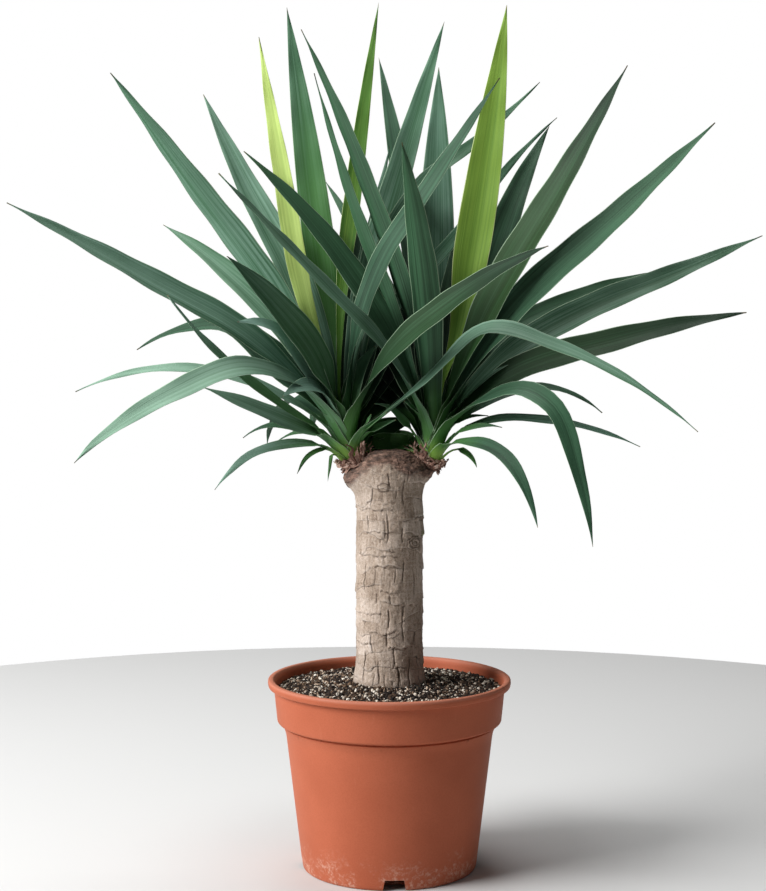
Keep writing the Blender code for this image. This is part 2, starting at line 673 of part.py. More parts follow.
def make_scales(head, collection, material):
    """The ring of dry scales round a head's foot, taller on the side that faces the cane's middle."""
    draw = random.Random(head.seed + 20)
    outside = SCALE_RING_INSIDE + SCALE_RING_WALL
    profile = [
        (SCALE_RING_INSIDE, SCALE_RING_HEIGHT),
        (outside - 0.0006, SCALE_RING_HEIGHT),
        (outside, 0.0),
        (SCALE_RING_INSIDE, 0.0),
        (SCALE_RING_INSIDE, SCALE_RING_HEIGHT),
    ]
    ring = turned(f"{head.name}_dry_scales", profile, SCALE_RING_STEPS, collection)
    lean_over(ring, head)
    plates = new_collection(f"{head.name}_scale_plates")
    inward = math.pi if head.foot_x > 0 else 0.0
    for number in range(SCALE_COUNT):
        angle = number * math.tau / SCALE_COUNT + draw.uniform(-0.2, 0.2)
        facing = 0.5 + 0.5 * math.cos(angle - inward)
        height = SCALE_SHORTEST + SCALE_INNER_EXTRA * facing + draw.uniform(0, 0.003)
        width = SCALE_WIDTH * draw.uniform(0.75, 1.1)
        points, faces = scale_plate(outside - 0.0009, angle, height, draw.uniform(0.35, 0.6), width)
        plate = mesh_object(f"{head.name}_scale_plate_{number}", points, faces, plates)
        lean_over(plate, head)
    boolean(ring, "UNION", plates)
    give_material(ring, material)
    return ring


def main():
    clear_scene()
    plant = new_collection("potted_yucca")
    leaf_material = finish_material("leaf_green", LEAF_GREEN, 0.45)
    young_material = finish_material("young_green", YOUNG_GREEN, 0.45)
    scale_material = finish_material("scale_brown", SCALE_BROWN, 0.85)
    make_pot(plant, finish_material("terracotta_plastic", TERRACOTTA, 0.55))
    make_soil(plant, finish_material("soil_brown", SOIL_BROWN, 0.95))
    make_cane(plant, finish_material("bark_tan", BARK_TAN, 0.85))
    make_head(LEFT_HEAD, LEFT_LEAVES, plant, leaf_material)
    make_head(RIGHT_HEAD, RIGHT_LEAVES, plant, leaf_material)
    make_young_leaves(LEFT_HEAD, LEFT_YOUNG_LEAVES, plant, young_material)
    make_young_leaves(RIGHT_HEAD, RIGHT_YOUNG_LEAVES, plant, young_material)
    make_scales(LEFT_HEAD, plant, scale_material)
    make_scales(RIGHT_HEAD, plant, scale_material)


main()
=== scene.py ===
import math
import random
from collections import namedtuple

import bmesh
import bpy
import numpy as np
from mathutils import Matrix, Vector, noise


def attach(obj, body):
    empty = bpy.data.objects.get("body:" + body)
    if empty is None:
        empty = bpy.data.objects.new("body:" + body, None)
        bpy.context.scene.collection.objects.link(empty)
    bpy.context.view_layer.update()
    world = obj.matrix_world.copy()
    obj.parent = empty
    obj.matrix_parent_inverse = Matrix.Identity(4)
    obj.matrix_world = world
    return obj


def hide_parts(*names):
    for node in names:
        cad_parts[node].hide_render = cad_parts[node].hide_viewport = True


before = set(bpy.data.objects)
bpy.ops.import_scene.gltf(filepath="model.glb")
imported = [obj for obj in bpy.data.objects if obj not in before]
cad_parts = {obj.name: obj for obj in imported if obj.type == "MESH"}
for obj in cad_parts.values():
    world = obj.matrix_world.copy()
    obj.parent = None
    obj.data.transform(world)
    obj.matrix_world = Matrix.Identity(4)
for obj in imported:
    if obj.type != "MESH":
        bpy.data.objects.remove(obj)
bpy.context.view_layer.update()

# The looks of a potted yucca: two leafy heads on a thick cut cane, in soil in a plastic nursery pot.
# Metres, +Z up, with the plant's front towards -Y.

# Camera, as it stood for the photograph
CAMERA_PLACE = (-0.005, -1.400, 0.429)
CAMERA_DOWN = 4.0
CAMERA_LENS = 73.0
CAMERA_SENSOR = 36.0

# Soft studio light: a large lamp on the left, a weaker one above and a faint one on the right
KEY_PLACE = (-1.88, -0.76, 1.35)
KEY_SIZE = 1.5
KEY_POWER = 84
TOP_PLACE = (-0.1, 0.4, 2.2)
TOP_SIZE = 1.0
TOP_POWER = 24
FILL_PLACE = (1.7, -1.2, 0.7)
FILL_SIZE = 1.2
FILL_POWER = 1
LIGHT_TARGET = (0.0, 0.0, 0.33)
ROOM_GREY = 0.06
FLOOR_RADIUS = 0.95
FLOOR_SIDES = 96

# The room between pieces that stand in each other, and the way up
GAP = 0.0003
UP = np.array((0.0, 0.0, 1.0))

# Pot
POT_HEIGHT = 0.149
RIM_RADIUS = 0.095
RIM_BEAD_HEIGHT = 0.006
RIM_LIP = 0.0042
COLLAR_TOP_RADIUS = 0.0902
COLLAR_FOOT_RADIUS = 0.0878
COLLAR_FOOT_Z = 0.116
COLLAR_STEP_RADIUS = 0.0836
GROOVE_DEPTH = 0.0014
INNER_STEP_RADIUS = 0.0804
INNER_STEP_Z = 0.1166
BODY_TOP_RADIUS = 0.081
BODY_TOP_Z = 0.1075
BASE_RADIUS = 0.0685
POT_WALL = 0.002
FLOOR_DISC_RADIUS = 0.058
CHANNEL_ROOF_Z = 0.0045
NOTCH_COUNT = 4
NOTCH_WIDTH = 0.0145
NOTCH_FOOT_WIDTH = 0.0175
NOTCH_HEIGHT = 0.0082
NOTCH_DEPTH = 0.032
NOTCH_TURN = 3
POT_STEPS = 192
MERGE_DISTANCE = 0.00001

# Cane
CANE_RADIUS = 0.0262
CANE_FOOT_RADIUS = 0.0289
CANE_TOP_Z = 0.3275
CANE_ROUND_OVER = 0.016
CANE_SIDES = 300
CANE_RINGS = 290
CANE_TOP_RINGS = 44
TOP_FULLNESS = 0.22
BARK_SINK = 0.0004
CANE_LOWEST_Z = 0.128
FLARE_HEIGHT = 0.011
SHOULDER_HEIGHT = 0.010
SEAT_Z = 0.3147
SEAT_RADIUS = 0.0103
SEAT_ROOM = 0.0022
SEAT_ROOM_HEIGHT = 0.022
SEAT_ROOM_TOP_RADIUS = 0.0185

# Soil
SOIL_WALL_Z = 0.1405
SOIL_CANE_Z = 0.1465
SOIL_CLODS = 0.0016
SOIL_EVEN_EDGE = 0.006
SOIL_RADIUS = COLLAR_TOP_RADIUS - POT_WALL - 3 * GAP
SOIL_RINGS = 44
SOIL_SIDES = 168
SOIL_BELOW_CANE = 0.02
SOIL_FOOT_INSET = 0.007
SOIL_COLLAR_RISE = 0.0022
CANE_HOLE_RADIUS = CANE_FOOT_RADIUS + GAP
CANE_BOTTOM_Z = 0.060

# Heads and leaves
Head = namedtuple("Head", "name foot_x lean shoulder_reach shoulder_z seed back_turn back_spread")
LEFT_HEAD = Head("left", -0.0300, -0.17, 0.0098, 0.3065, 5, 80, 42)
RIGHT_HEAD = Head("right", 0.0325, 0.05, 0.0088, 0.3130, 8, 72, 34)
FOOT_Z = SEAT_Z + GAP
CORE_HEIGHT = 0.050
CORE_FOOT_RADIUS = 0.0068
NECK_SHARE = 0.58
YOUNG_NECK_SHARE = 0.20
WIDEST_AT = 0.42
TIP_SHARE = 0.012
FOLD_AT_NECK = 34
FOLD_AT_MIDDLE = 13
FOLD_OPENS_BY = 0.3
FRONT_TURN = 52
ROOT_REACH = 0.004
YOUNG_ROOT_HEIGHT = CORE_HEIGHT + GAP + 0.003
LOWEST_ROOT = 0.010
ROOT_RISE = 0.026
BLADE_STATION = 0.0065
FEWEST_STATIONS = 16

# How each leaf's base wraps the core of its head
CLASP_RUN = 0.020
CLASP_OPENS_BY = 0.064
CLASP_HALF_WIDTH = 0.0115
CLASP_SHARE = 0.62
CLASP_LONGEST_SHARE = 0.42
CLASP_STATIONS = 7

# Leaves at the back of each head, by a rule
BACK_LEAVES = 11
GOLDEN_ANGLE = 137.508
GOLDEN_SHARE = 0.618
BACK_STEEPEST = 74
BACK_FLATTEST = 22
BACK_DROOP_STEEP = 12
BACK_DROOP_FLAT = 82
BACK_SHORTEST = 0.165
BACK_LONGEST = 0.240
BACK_NARROWEST = 0.017
BACK_WIDEST = 0.024
BACK_REACH = 0.002
BACK_HIGHEST = 0.036
BACK_HEIGHT_FALL = 0.022

# Leaves behind the gap between the heads, which lean towards the other head. The low ones are given as
# (turn, height, width).
LOW_GAP_LEAVES = ((24, 0.013, 0.026), (40, 0.016, 0.022))
GAP_LEAVES = 9
# Their deep tone is painted shade: they stand in the shadow of the leaves in front
GAP_SHADE_TONE = 0.0
GAP_INWARD = 38
GAP_BACKWARD = 80
GAP_FLATTEST = 27
GAP_STEEPEST = 78
GAP_SHORTEST = 0.105
GAP_LONGEST = 0.165
GAP_REACH = 0.004
GAP_HEIGHT = 0.028
GAP_BEND = 0.12

# A leaf: its tone from about 0, deep green, to about 1, pale, which for many leaves also holds painted light
# and shade, paler where the leaf lies in shade and darker where it is strongly lit; the way it points seen
# from above in degrees (0 to the right, 90 to the back, 180 to the left); its full width; points on its
# midrib as (reach, height) from the foot of its head; how far its blade is rolled about the midrib in degrees
# (None: turned to the front); how fast it narrows to its point; and how yellow-green its lower half still is,
# from 0 to 1.
Leaf = namedtuple("Leaf", "tone turn width route roll taper youth", defaults=(None, 1.9, 0.0))

LEFT_LEAVES = (
    # tall leaves that rise to the left and the middle
    Leaf(0.62, 195, 0.029, ((0.046, 0.119), (0.119, 0.219), (0.178, 0.296)), 40),
    Leaf(0.62, 192, 0.025, ((0.071, 0.099), (0.147, 0.143), (0.255, 0.200))),
    Leaf(0.62, 155, 0.024, ((0.036, 0.089), (0.102, 0.151), (0.163, 0.190))),
    Leaf(0.60, 220, 0.026, ((0.029, 0.089), (0.060, 0.121), (0.110, 0.160)), -86, youth=0.25),
    Leaf(0.70, 147, 0.026, ((0.048, 0.151), (0.094, 0.222), (0.137, 0.295))),
    Leaf(0.52, 115, 0.026, ((0.037, 0.137), (0.079, 0.266), (0.115, 0.369)), youth=0.6),
    Leaf(0.65, 62, 0.012, ((0.026, 0.140), (0.055, 0.204), (0.077, 0.253))),
    Leaf(0.55, 48, 0.024, ((0.033, 0.152), (0.069, 0.240), (0.120, 0.355))),
    Leaf(0.45, 12, 0.016, ((0.012, 0.074), (0.025, 0.093))),
    # long leaves that cross to the right
    Leaf(0.28, -37, 0.019, ((0.041, 0.166), (0.069, 0.199), (0.143, 0.287)), 84),
    Leaf(0.50, 34, 0.015, ((0.021, 0.127), (0.072, 0.219), (0.127, 0.257), (0.193, 0.309))),
    Leaf(0.50, 25, 0.012, ((0.031, 0.106), (0.099, 0.182), (0.152, 0.244), (0.189, 0.277))),
    Leaf(0.00, -48, 0.023, ((0.037, 0.075), (0.119, 0.128), (0.213, 0.164)), 72, youth=0.08),
    Leaf(0.64, -28, 0.015, ((0.067, 0.066), (0.122, 0.108), (0.173, 0.096), (0.283, 0.035)), taper=1.3),
    # arching and drooping leaves on the left
    Leaf(1.30, 205, 0.022, ((0.035, 0.080), (0.057, 0.107), (0.088, 0.112))),
    Leaf(0.25, 172, 0.030, ((0.057, 0.084), (0.095, 0.110), (0.128, 0.107), (0.166, 0.090)), taper=0.8),
    Leaf(0.90, 200, 0.011, ((0.064, 0.057), (0.101, 0.087), (0.141, 0.132)), youth=0.7),
    Leaf(0.92, 215, 0.021, ((0.038, 0.063), (0.087, 0.079), (0.150, 0.061), (0.232, 0.013))),
    Leaf(0.95, 188, 0.010, ((0.063, 0.062), (0.124, 0.077), (0.207, 0.059))),
    Leaf(0.85, 200, 0.018, ((0.038, 0.032), (0.115, 0.063))),
    Leaf(0.80, 225, 0.020, ((0.010, 0.040), (0.024, 0.060), (0.064, 0.056))),
    # small old leaves at the foot
    Leaf(0.45, 180, 0.007, ((0.036, 0.029), (0.060, 0.032), (0.081, 0.022))),
    Leaf(0.40, 160, 0.007, ((0.031, 0.027), (0.059, 0.018))),
    Leaf(0.85, 205, 0.009, ((0.047, 0.019), (0.080, 0.012), (0.112, -0.014))),
    Leaf(0.35, 210, 0.005, ((0.024, 0.014), (0.036, 0.009), (0.047, -0.004))),
    Leaf(0.60, 232, 0.0032, ((0.016, 0.015), (0.024, 0.004), (0.028, -0.010))),
    Leaf(0.50, -30, 0.007, ((0.012, 0.028), (0.023, 0.041))),
    Leaf(0.50, -35, 0.008, ((0.025, 0.034), (0.038, 0.043))),
    Leaf(0.50, -25, 0.008, ((0.026, 0.031), (0.042, 0.037))),
    # dark leaves behind, in the gap between the heads, whose deep tone is painted shade
    Leaf(0.12, 56, 0.022, ((0.040, 0.046), (0.085, 0.074)), 40),
    Leaf(0.12, 70, 0.022, ((0.035, 0.075), (0.082, 0.130)), 35),
    Leaf(0.12, 40, 0.018, ((0.036, 0.028), (0.070, 0.034)), 45),
)

LEFT_YOUNG_LEAVES = (
    Leaf(0.92, 154, 0.0175, ((0.027, 0.121), (0.050, 0.230), (0.070, 0.334)), -78),
    Leaf(0.00, 76, 0.014, ((0.009, 0.135), (0.045, 0.217), (0.126, 0.376))),
)

RIGHT_LEAVES = (
    # leaves that cross to the left
    Leaf(0.68, 205, 0.020, ((0.042, 0.093), (0.088, 0.137), (0.175, 0.220))),
    Leaf(0.45, 174, 0.023, ((0.022, 0.079), (0.068, 0.157), (0.148, 0.244))),
    Leaf(0.28, 166, 0.018, ((0.012, 0.090), (0.0545, 0.222), (0.106, 0.339)), 65),
    Leaf(0.36, 166, 0.0148, ((0.021, 0.088), (0.0705, 0.222), (0.0955, 0.305)), 65, 1.4),
    Leaf(0.30, 106.5, 0.021, ((0.021, 0.106), (0.089, 0.235), (0.150, 0.334))),
    Leaf(0.35, 125, 0.016, ((0.018, 0.074), (0.079, 0.154), (0.153, 0.230))),
    Leaf(0.35, 112, 0.014, ((0.020, 0.097), (0.066, 0.166))),
    # tall leaves in the middle
    Leaf(0.60, 86.6, 0.031, ((0.042, 0.100), (0.083, 0.221), (0.130, 0.324))),
    Leaf(0.26, 255, 0.026, ((0.015, 0.100), (0.050, 0.175), (0.099, 0.240))),
    Leaf(0.25, 52, 0.028, ((0.062, 0.129), (0.116, 0.219), (0.163, 0.275))),
    # long leaves that rise to the right
    Leaf(0.04, -5, 0.031, ((0.040, 0.120), (0.098, 0.220), (0.147, 0.306)), youth=0.20),
    Leaf(0.34, -6, 0.030, ((0.054, 0.113), (0.141, 0.194), (0.213, 0.262))),
    Leaf(0.54, 4, 0.025, ((0.052, 0.082), (0.122, 0.123), (0.179, 0.146), (0.258, 0.179))),
    Leaf(0.32, 28, 0.020, ((0.054, 0.095), (0.129, 0.130), (0.213, 0.153))),
    Leaf(-0.05, -8, 0.026, ((0.052, 0.068), (0.143, 0.099), (0.238, 0.119)), youth=0.08),
    # arching and drooping leaves on the right
    Leaf(0.65, 30, 0.013, ((0.045, 0.093), (0.064, 0.104), (0.098, 0.082))),
    Leaf(0.65, 12, 0.009, ((0.048, 0.052), (0.092, 0.061), (0.138, 0.040))),
    Leaf(0.65, -15, 0.008, ((0.047, 0.037), (0.094, 0.037), (0.161, 0.018))),
    Leaf(0.40, -40, 0.017, ((0.046, 0.052), (0.089, 0.062), (0.113, 0.050), (0.133, 0.012), (0.150, -0.051))),
    Leaf(0.30, -55, 0.013, ((0.052, 0.022), (0.091, 0.013), (0.129, -0.036))),
    # small old leaves at the foot
    Leaf(0.35, -30, 0.006, ((0.026, 0.029), (0.044, 0.033), (0.060, 0.032))),
    Leaf(0.35, -20, 0.006, ((0.026, 0.038), (0.045, 0.040))),
    Leaf(0.30, -20, 0.006, ((0.022, 0.014), (0.031, 0.009), (0.037, 0.000))),
    Leaf(0.40, 200, 0.007, ((0.007, 0.032), (0.013, 0.042), (0.024, 0.051))),
    Leaf(0.40, 188, 0.008, ((0.018, 0.031), (0.036, 0.047), (0.046, 0.049))),
    Leaf(0.40, 150, 0.009, ((0.017, 0.070), (0.028, 0.082))),
    # dark leaves behind, in the gap between the heads, whose deep tone is painted shade
    Leaf(0.10, 116, 0.024, ((0.030, 0.100), (0.072, 0.180)), -35),
    Leaf(0.10, 128, 0.022, ((0.026, 0.090), (0.058, 0.126)), -40),
)

RIGHT_YOUNG_LEAVES = (
    Leaf(0.34, 47, 0.030, ((0.025, 0.097), (0.044, 0.168), (0.071, 0.287), (0.086, 0.364))),
)


class Wire:
    """One output of a node, which formulas can be written with."""

    def __init__(self, socket):
        self.socket = socket

    def other(self, name):
        """Another output of the same node."""
        return Wire(self.socket.node.outputs[name])

    def __add__(self, term):
        return reckon("ADD", self, term)

    def __radd__(self, term):
        return reckon("ADD", term, self)

    def __sub__(self, term):
        return reckon("SUBTRACT", self, term)

    def __rsub__(self, term):
        return reckon("SUBTRACT", term, self)

    def __mul__(self, term):
        return reckon("MULTIPLY", self, term)

    def __truediv__(self, term):
        return reckon("DIVIDE", self, term)

    def __pow__(self, term):
        return reckon("POWER", self, term)


def is_vector(term):
    if isinstance(term, Wire):
        return term.socket.type in ("VECTOR", "RGBA")
    return isinstance(term, tuple)


def plug(value, socket):
    """Links a wire to a socket, or sets the socket to a plain value."""
    if isinstance(value, Wire):
        socket.id_data.links.new(value.socket, socket)
    else:
        socket.default_value = value


def reckon(operation, *terms):
    """One step of a formula: a Math node, or a Vector Math node where a term is a vector."""
    tree = next(term.socket.id_data for term in terms if isinstance(term, Wire))
    vectors = [is_vector(term) for term in terms]
    if not any(vectors):
        node = tree.nodes.new("ShaderNodeMath")
        node.operation = operation
        for term, socket in zip(terms, node.inputs):
            plug(term, socket)
        return Wire(node.outputs["Value"])
    node = tree.nodes.new("ShaderNodeVectorMath")
    if operation == "MULTIPLY" and not all(vectors):
        operation = "SCALE"
        terms = sorted(terms, key=is_vector, reverse=True)
    node.operation = operation
    sockets = [socket for socket in node.inputs if socket.enabled]
    for term, socket in zip(terms, sockets):
        plug(term, socket)
    return Wire(node.outputs["Value" if operation == "DISTANCE" else "Vector"])


class Graph:
    """A node tree being built, of a material or of Geometry Nodes."""

    def __init__(self, tree):
        self.tree = tree

    def add(self, kind, inputs=None, output=0, **settings):
        """Adds a node with its settings and inputs, and gives back one of its outputs."""
        node = self.tree.nodes.new(kind)
        for name, value in settings.items():
            setattr(node, name, value)
        for key, value in (inputs or {}).items():
            plug(value, node.inputs[key])
        return Wire(node.outputs[output])

    def join(self, x, y, z):
        return self.add("ShaderNodeCombineXYZ", {0: x, 1: y, 2: z})

    def split(self, vector):
        x = self.add("ShaderNodeSeparateXYZ", {0: vector})
        return x, x.other("Y"), x.other("Z")

    def noise(self, place, scale, detail=2.0, roughness=0.5):
        inputs = {"Vector": place, "Scale": scale, "Detail": detail, "Roughness": roughness}
        return self.add("ShaderNodeTexNoise", inputs)

    def rise(self, value, low, high):
        """0 up to low and 1 from high on, smoothly between; falls instead where low is above high."""
        inputs = {0: value, 1: low, 2: high, 3: 0.0, 4: 1.0}
        return self.add("ShaderNodeMapRange", inputs, interpolation_type="SMOOTHSTEP")

    def mix(self, share, first, second, blend="MIX"):
        inputs = {0: share, 6: first, 7: second}
        return self.add("ShaderNodeMix", inputs, 2, data_type="RGBA", blend_type=blend)

    def lay(self, tint, share, code, blend="MIX"):
        """Lays a colour over a tint, as strongly as its share says."""
        return self.mix(share, tint, colour(code), blend)

    def bump(self, height, strength, distance):
        """The shading of a relief that is too fine for the mesh."""
        return self.add("ShaderNodeBump", {"Height": height, "Strength": strength, "Distance": distance})

    def draw(self, seed):
        """A random number from 0 to 1 for each instance."""
        return self.add("FunctionNodeRandomValue", {2: 0.0, 3: 1.0, 8: seed}, 1, data_type="FLOAT")

    def colours(self, value, stops):
        """A colour read off a scale of (place, colour) stops."""
        wire = self.add("ShaderNodeValToRGB", {0: value})
        scale = wire.socket.node.color_ramp
        for number, (place, code) in enumerate(stops):
            stop = scale.elements[number] if number < 2 else scale.elements.new(place)
            stop.position = place
            stop.color = colour(code)
        return wire

    def point_value(self, name):
        """A number that each point of the mesh carries, for a material."""
        return self.add("ShaderNodeAttribute", output=2, attribute_name=name)

    def field(self, name, kind="FLOAT"):
        """What each point of the geometry carries under a name, in Geometry Nodes."""
        return self.add("GeometryNodeInputNamedAttribute", {"Name": name}, data_type=kind)

    def keep(self, geometry, name, value, kind="FLOAT", domain="POINT"):
        """Stores a value with the geometry under a name."""
        inputs = {"Geometry": geometry, "Name": name, "Value": value}
        return self.add("GeometryNodeStoreNamedAttribute", inputs, data_type=kind, domain=domain)


def colour(code):
    """A colour in linear light from a screen colour written as six hexadecimal digits."""
    shares = [int(code[i : i + 2], 16) / 255 for i in (0, 2, 4)]
    return tuple(c / 12.92 if c <= 0.04045 else ((c + 0.055) / 1.055) ** 2.4 for c in shares) + (1.0,)


def start_material(name):
    material = bpy.data.materials.new(name)
    material.use_nodes = True
    return material, Graph(material.node_tree), material.node_tree.nodes["Principled BSDF"]


def dress(shader, sockets):
    for name, value in sockets.items():
        plug(value, shader.inputs[name])


def object_place(graph):
    return graph.add("ShaderNodeTexCoord", output="Object")


def start_tree(name, inputs):
    """A Geometry Nodes tree with named inputs after the geometry."""
    tree = bpy.data.node_groups.new(name, "GeometryNodeTree")
    tree.interface.new_socket("Geometry", in_out="INPUT", socket_type="NodeSocketGeometry")
    for label, kind in inputs.items():
        tree.interface.new_socket(label, in_out="INPUT", socket_type=f"NodeSocket{kind}")
    tree.interface.new_socket("Geometry", in_out="OUTPUT", socket_type="NodeSocketGeometry")
    entry = tree.nodes.new("NodeGroupInput")
    return Graph(tree), {socket.name: Wire(socket) for socket in entry.outputs if socket.name}


def end_tree(graph, geometry, material):
    """Makes the instances real, gives them their material and hands the result out."""
    real = graph.add("GeometryNodeRealizeInstances", {"Geometry": geometry})
    smooth = graph.add("GeometryNodeSetShadeSmooth", {"Geometry": real})
    dressed = graph.add("GeometryNodeSetMaterial", {"Geometry": smooth, "Material": material})
    plug(dressed, graph.tree.nodes.new("NodeGroupOutput").inputs[0])
    return graph.tree


def apply_modifiers(obj):
    """Leaves what an object's modifiers make of it as its plain mesh."""
    graph = bpy.context.evaluated_depsgraph_get()
    mesh = bpy.data.meshes.new_from_object(obj.evaluated_get(graph))
    obj.modifiers.clear()
    obj.data = mesh


def grow(obj, tree, values, spare=()):
    """Runs a Geometry Nodes tree on an object, and drops the spare values that its points carry."""
    modifier = obj.modifiers.new(tree.name, "NODES")
    modifier.node_group = tree
    for item in tree.interface.items_tree:
        if item.in_out == "INPUT" and item.name in values:
            modifier[item.identifier] = values[item.name]
    apply_modifiers(obj)
    for name in spare:
        obj.data.attributes.remove(obj.data.attributes[name])


def add_object(name, data):
    obj = bpy.data.objects.new(name, data)
    bpy.context.scene.collection.objects.link(obj)
    return obj


def shape_object(name, shape):
    """An object of a finished bmesh shape."""
    mesh = bpy.data.meshes.new(name)
    shape.to_mesh(mesh)
    shape.free()
    return add_object(name, mesh)


def mesh_object(name, points, faces):
    mesh = bpy.data.meshes.new(name)
    mesh.from_pydata([tuple(point) for point in points], [], faces)
    mesh.validate()
    return add_object(name, mesh)


def lines_object(name, lines):
    """An object of plain lines. Each line is a dict of what its points carry, their place among it."""
    counts = [len(line["place"]) for line in lines]
    starts = np.concatenate([[0], np.cumsum(counts)])
    edges = [(i, i + 1) for start, count in zip(starts, counts) for i in range(start, start + count - 1)]
    carried = {key: np.concatenate([line[key] for line in lines]) for key in lines[0]}
    mesh = bpy.data.meshes.new(name)
    mesh.from_pydata(carried["place"].tolist(), edges, [])
    for key, values in carried.items():
        kind, slot = ("FLOAT_VECTOR", "vector") if values.ndim == 2 else ("FLOAT", "value")
        attribute = mesh.attributes.new(key, kind, "POINT")
        attribute.data.foreach_set(slot, values.astype(np.float32).ravel())
    return add_object(name, mesh)


def face_outward(obj):
    shape = bmesh.new()
    shape.from_mesh(obj.data)
    bmesh.ops.recalc_face_normals(shape, faces=shape.faces)
    shape.to_mesh(obj.data)
    shape.free()


def smooth_over(obj, sharp_from):
    obj.data.shade_smooth()
    obj.data.set_sharp_from_angle(angle=math.radians(sharp_from))


def hand_over(obj, slot, *nodes):
    """Lets a finished piece ride on the plant's one body, in place of the nodes that it stands for."""
    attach(obj, "root")
    if nodes:
        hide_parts(*nodes)


# Camera, light and floor


def set_camera():
    camera = bpy.data.cameras.new("camera")
    camera.lens = CAMERA_LENS
    camera.sensor_width = CAMERA_SENSOR
    camera.dof.use_dof = False
    obj = add_object("camera", camera)
    obj.location = CAMERA_PLACE
    obj.rotation_euler = (math.radians(90 - CAMERA_DOWN), 0, 0)
    bpy.context.scene.camera = obj


def add_lamp(name, place, size, power):
    light = bpy.data.lights.new(name, "AREA")
    light.shape = "DISK"
    light.size = size
    light.energy = power
    obj = add_object(name, light)
    obj.location = place
    obj.rotation_euler = (Vector(LIGHT_TARGET) - Vector(place)).to_track_quat("-Z", "Y").to_euler()


def set_room():
    """A grey room light, with white behind the plant."""
    world = bpy.data.worlds.new("room")
    world.use_nodes = True
    graph = Graph(world.node_tree)
    seen = graph.add("ShaderNodeLightPath", output="Is Camera Ray")
    strength = seen * (1.0 - ROOM_GREY) + ROOM_GREY
    background = world.node_tree.nodes["Background"]
    background.inputs["Color"].default_value = (1.0, 1.0, 1.0, 1.0)
    plug(strength, background.inputs["Strength"])
    bpy.context.scene.world = world
    bpy.context.scene.view_settings.view_transform = "Standard"


def floor_material():
    material, graph, shader = start_material("pale_floor")
    dress(shader, {"Base Color": colour("D8D8D7"), "Roughness": 0.9})
    return material


def add_floor():
    shape = bmesh.new()
    bmesh.ops.create_circle(shape, cap_ends=True, segments=FLOOR_SIDES, radius=FLOOR_RADIUS)
    floor = shape_object("floor", shape)
    floor.location.z = -GAP
    floor.data.materials.append(floor_material())


# Pot


def pot_profile():
    """The pot's section as (radius, height, rounding), down its outside and up its inside."""
    bead_foot = POT_HEIGHT - RIM_BEAD_HEIGHT
    inner_floor = CHANNEL_ROOF_Z + POT_WALL
    return [
        (RIM_RADIUS - 0.0001, POT_HEIGHT, 0.0020),
        (RIM_RADIUS, POT_HEIGHT - 0.0032, 0.0006),
        (RIM_RADIUS - 0.0006, bead_foot, 0.0009),
        (COLLAR_TOP_RADIUS + 0.0004, bead_foot + 0.0002, 0.0006),
        (COLLAR_TOP_RADIUS, bead_foot - 0.0020, 0.0012),
        (COLLAR_FOOT_RADIUS, COLLAR_FOOT_Z + 0.0006, 0.0007),
        (COLLAR_FOOT_RADIUS - 0.0010, COLLAR_FOOT_Z - 0.0006, 0.0005),
        (COLLAR_STEP_RADIUS - GROOVE_DEPTH, COLLAR_FOOT_Z - 0.0004, 0.0003),
        (COLLAR_STEP_RADIUS - GROOVE_DEPTH, COLLAR_FOOT_Z - 0.0024, 0.0004),
        (COLLAR_STEP_RADIUS - 0.0003, COLLAR_FOOT_Z - 0.0030, 0.0007),
        (BODY_TOP_RADIUS, BODY_TOP_Z - 0.0010, 0.0030),
        (BASE_RADIUS, 0.0016, 0.0014),
        (BASE_RADIUS - 0.0010, 0.0, 0.0005),
        (BASE_RADIUS - POT_WALL, 0.0, 0.0004),
        (BASE_RADIUS - POT_WALL, CHANNEL_ROOF_Z, 0.0004),
        (FLOOR_DISC_RADIUS + 0.003, CHANNEL_ROOF_Z, 0.0008),
        (FLOOR_DISC_RADIUS, 0.0, 0.0008),
        (0.0, 0.0, 0.0),
        (0.0, POT_WALL, 0.0),
        (FLOOR_DISC_RADIUS - 0.002, POT_WALL, 0.0),
        (FLOOR_DISC_RADIUS + 0.001, inner_floor, 0.0),
        (BASE_RADIUS + 0.0008 - POT_WALL, inner_floor, 0.0),
        (BODY_TOP_RADIUS - POT_WALL, BODY_TOP_Z, 0.0),
        (INNER_STEP_RADIUS, INNER_STEP_Z, 0.0008),
        (COLLAR_FOOT_RADIUS - POT_WALL, COLLAR_FOOT_Z + 0.0016, 0.0008),
        (COLLAR_TOP_RADIUS - POT_WALL + 0.0006, POT_HEIGHT - 0.0035, 0.0012),
        (RIM_RADIUS - RIM_LIP, POT_HEIGHT, 0.0012),
    ]


def rounded(profile, steps=5):
    """A closed profile with each corner turned into a short curve."""
    points = []
    for number, (radius, height, rounding) in enumerate(profile):
        corner = Vector((radius, height))
        if rounding == 0.0:
            points.append(corner)
            continue
        before = Vector(profile[number - 1][:2]) - corner
        after = Vector(profile[(number + 1) % len(profile)][:2]) - corner
        start = corner + before.normalized() * min(rounding, before.length / 2)
        end = corner + after.normalized() * min(rounding, after.length / 2)
        for step in range(steps + 1):
            t = step / steps
            points.append(start * (1 - t) ** 2 + corner * 2 * t * (1 - t) + end * t**2)
    return points


def turned(name, points):
    """A closed profile turned round the Z axis."""
    mesh = bpy.data.meshes.new(name)
    count = len(points)
    edges = [(i, (i + 1) % count) for i in range(count)]
    mesh.from_pydata([(radius, 0, height) for radius, height in points], edges, [])
    obj = add_object(name, mesh)
    screw = obj.modifiers.new("Screw", "SCREW")
    screw.steps = POT_STEPS
    screw.render_steps = POT_STEPS
    screw.use_merge_vertices = True
    screw.merge_threshold = MERGE_DISTANCE
    apply_modifiers(obj)
    return obj


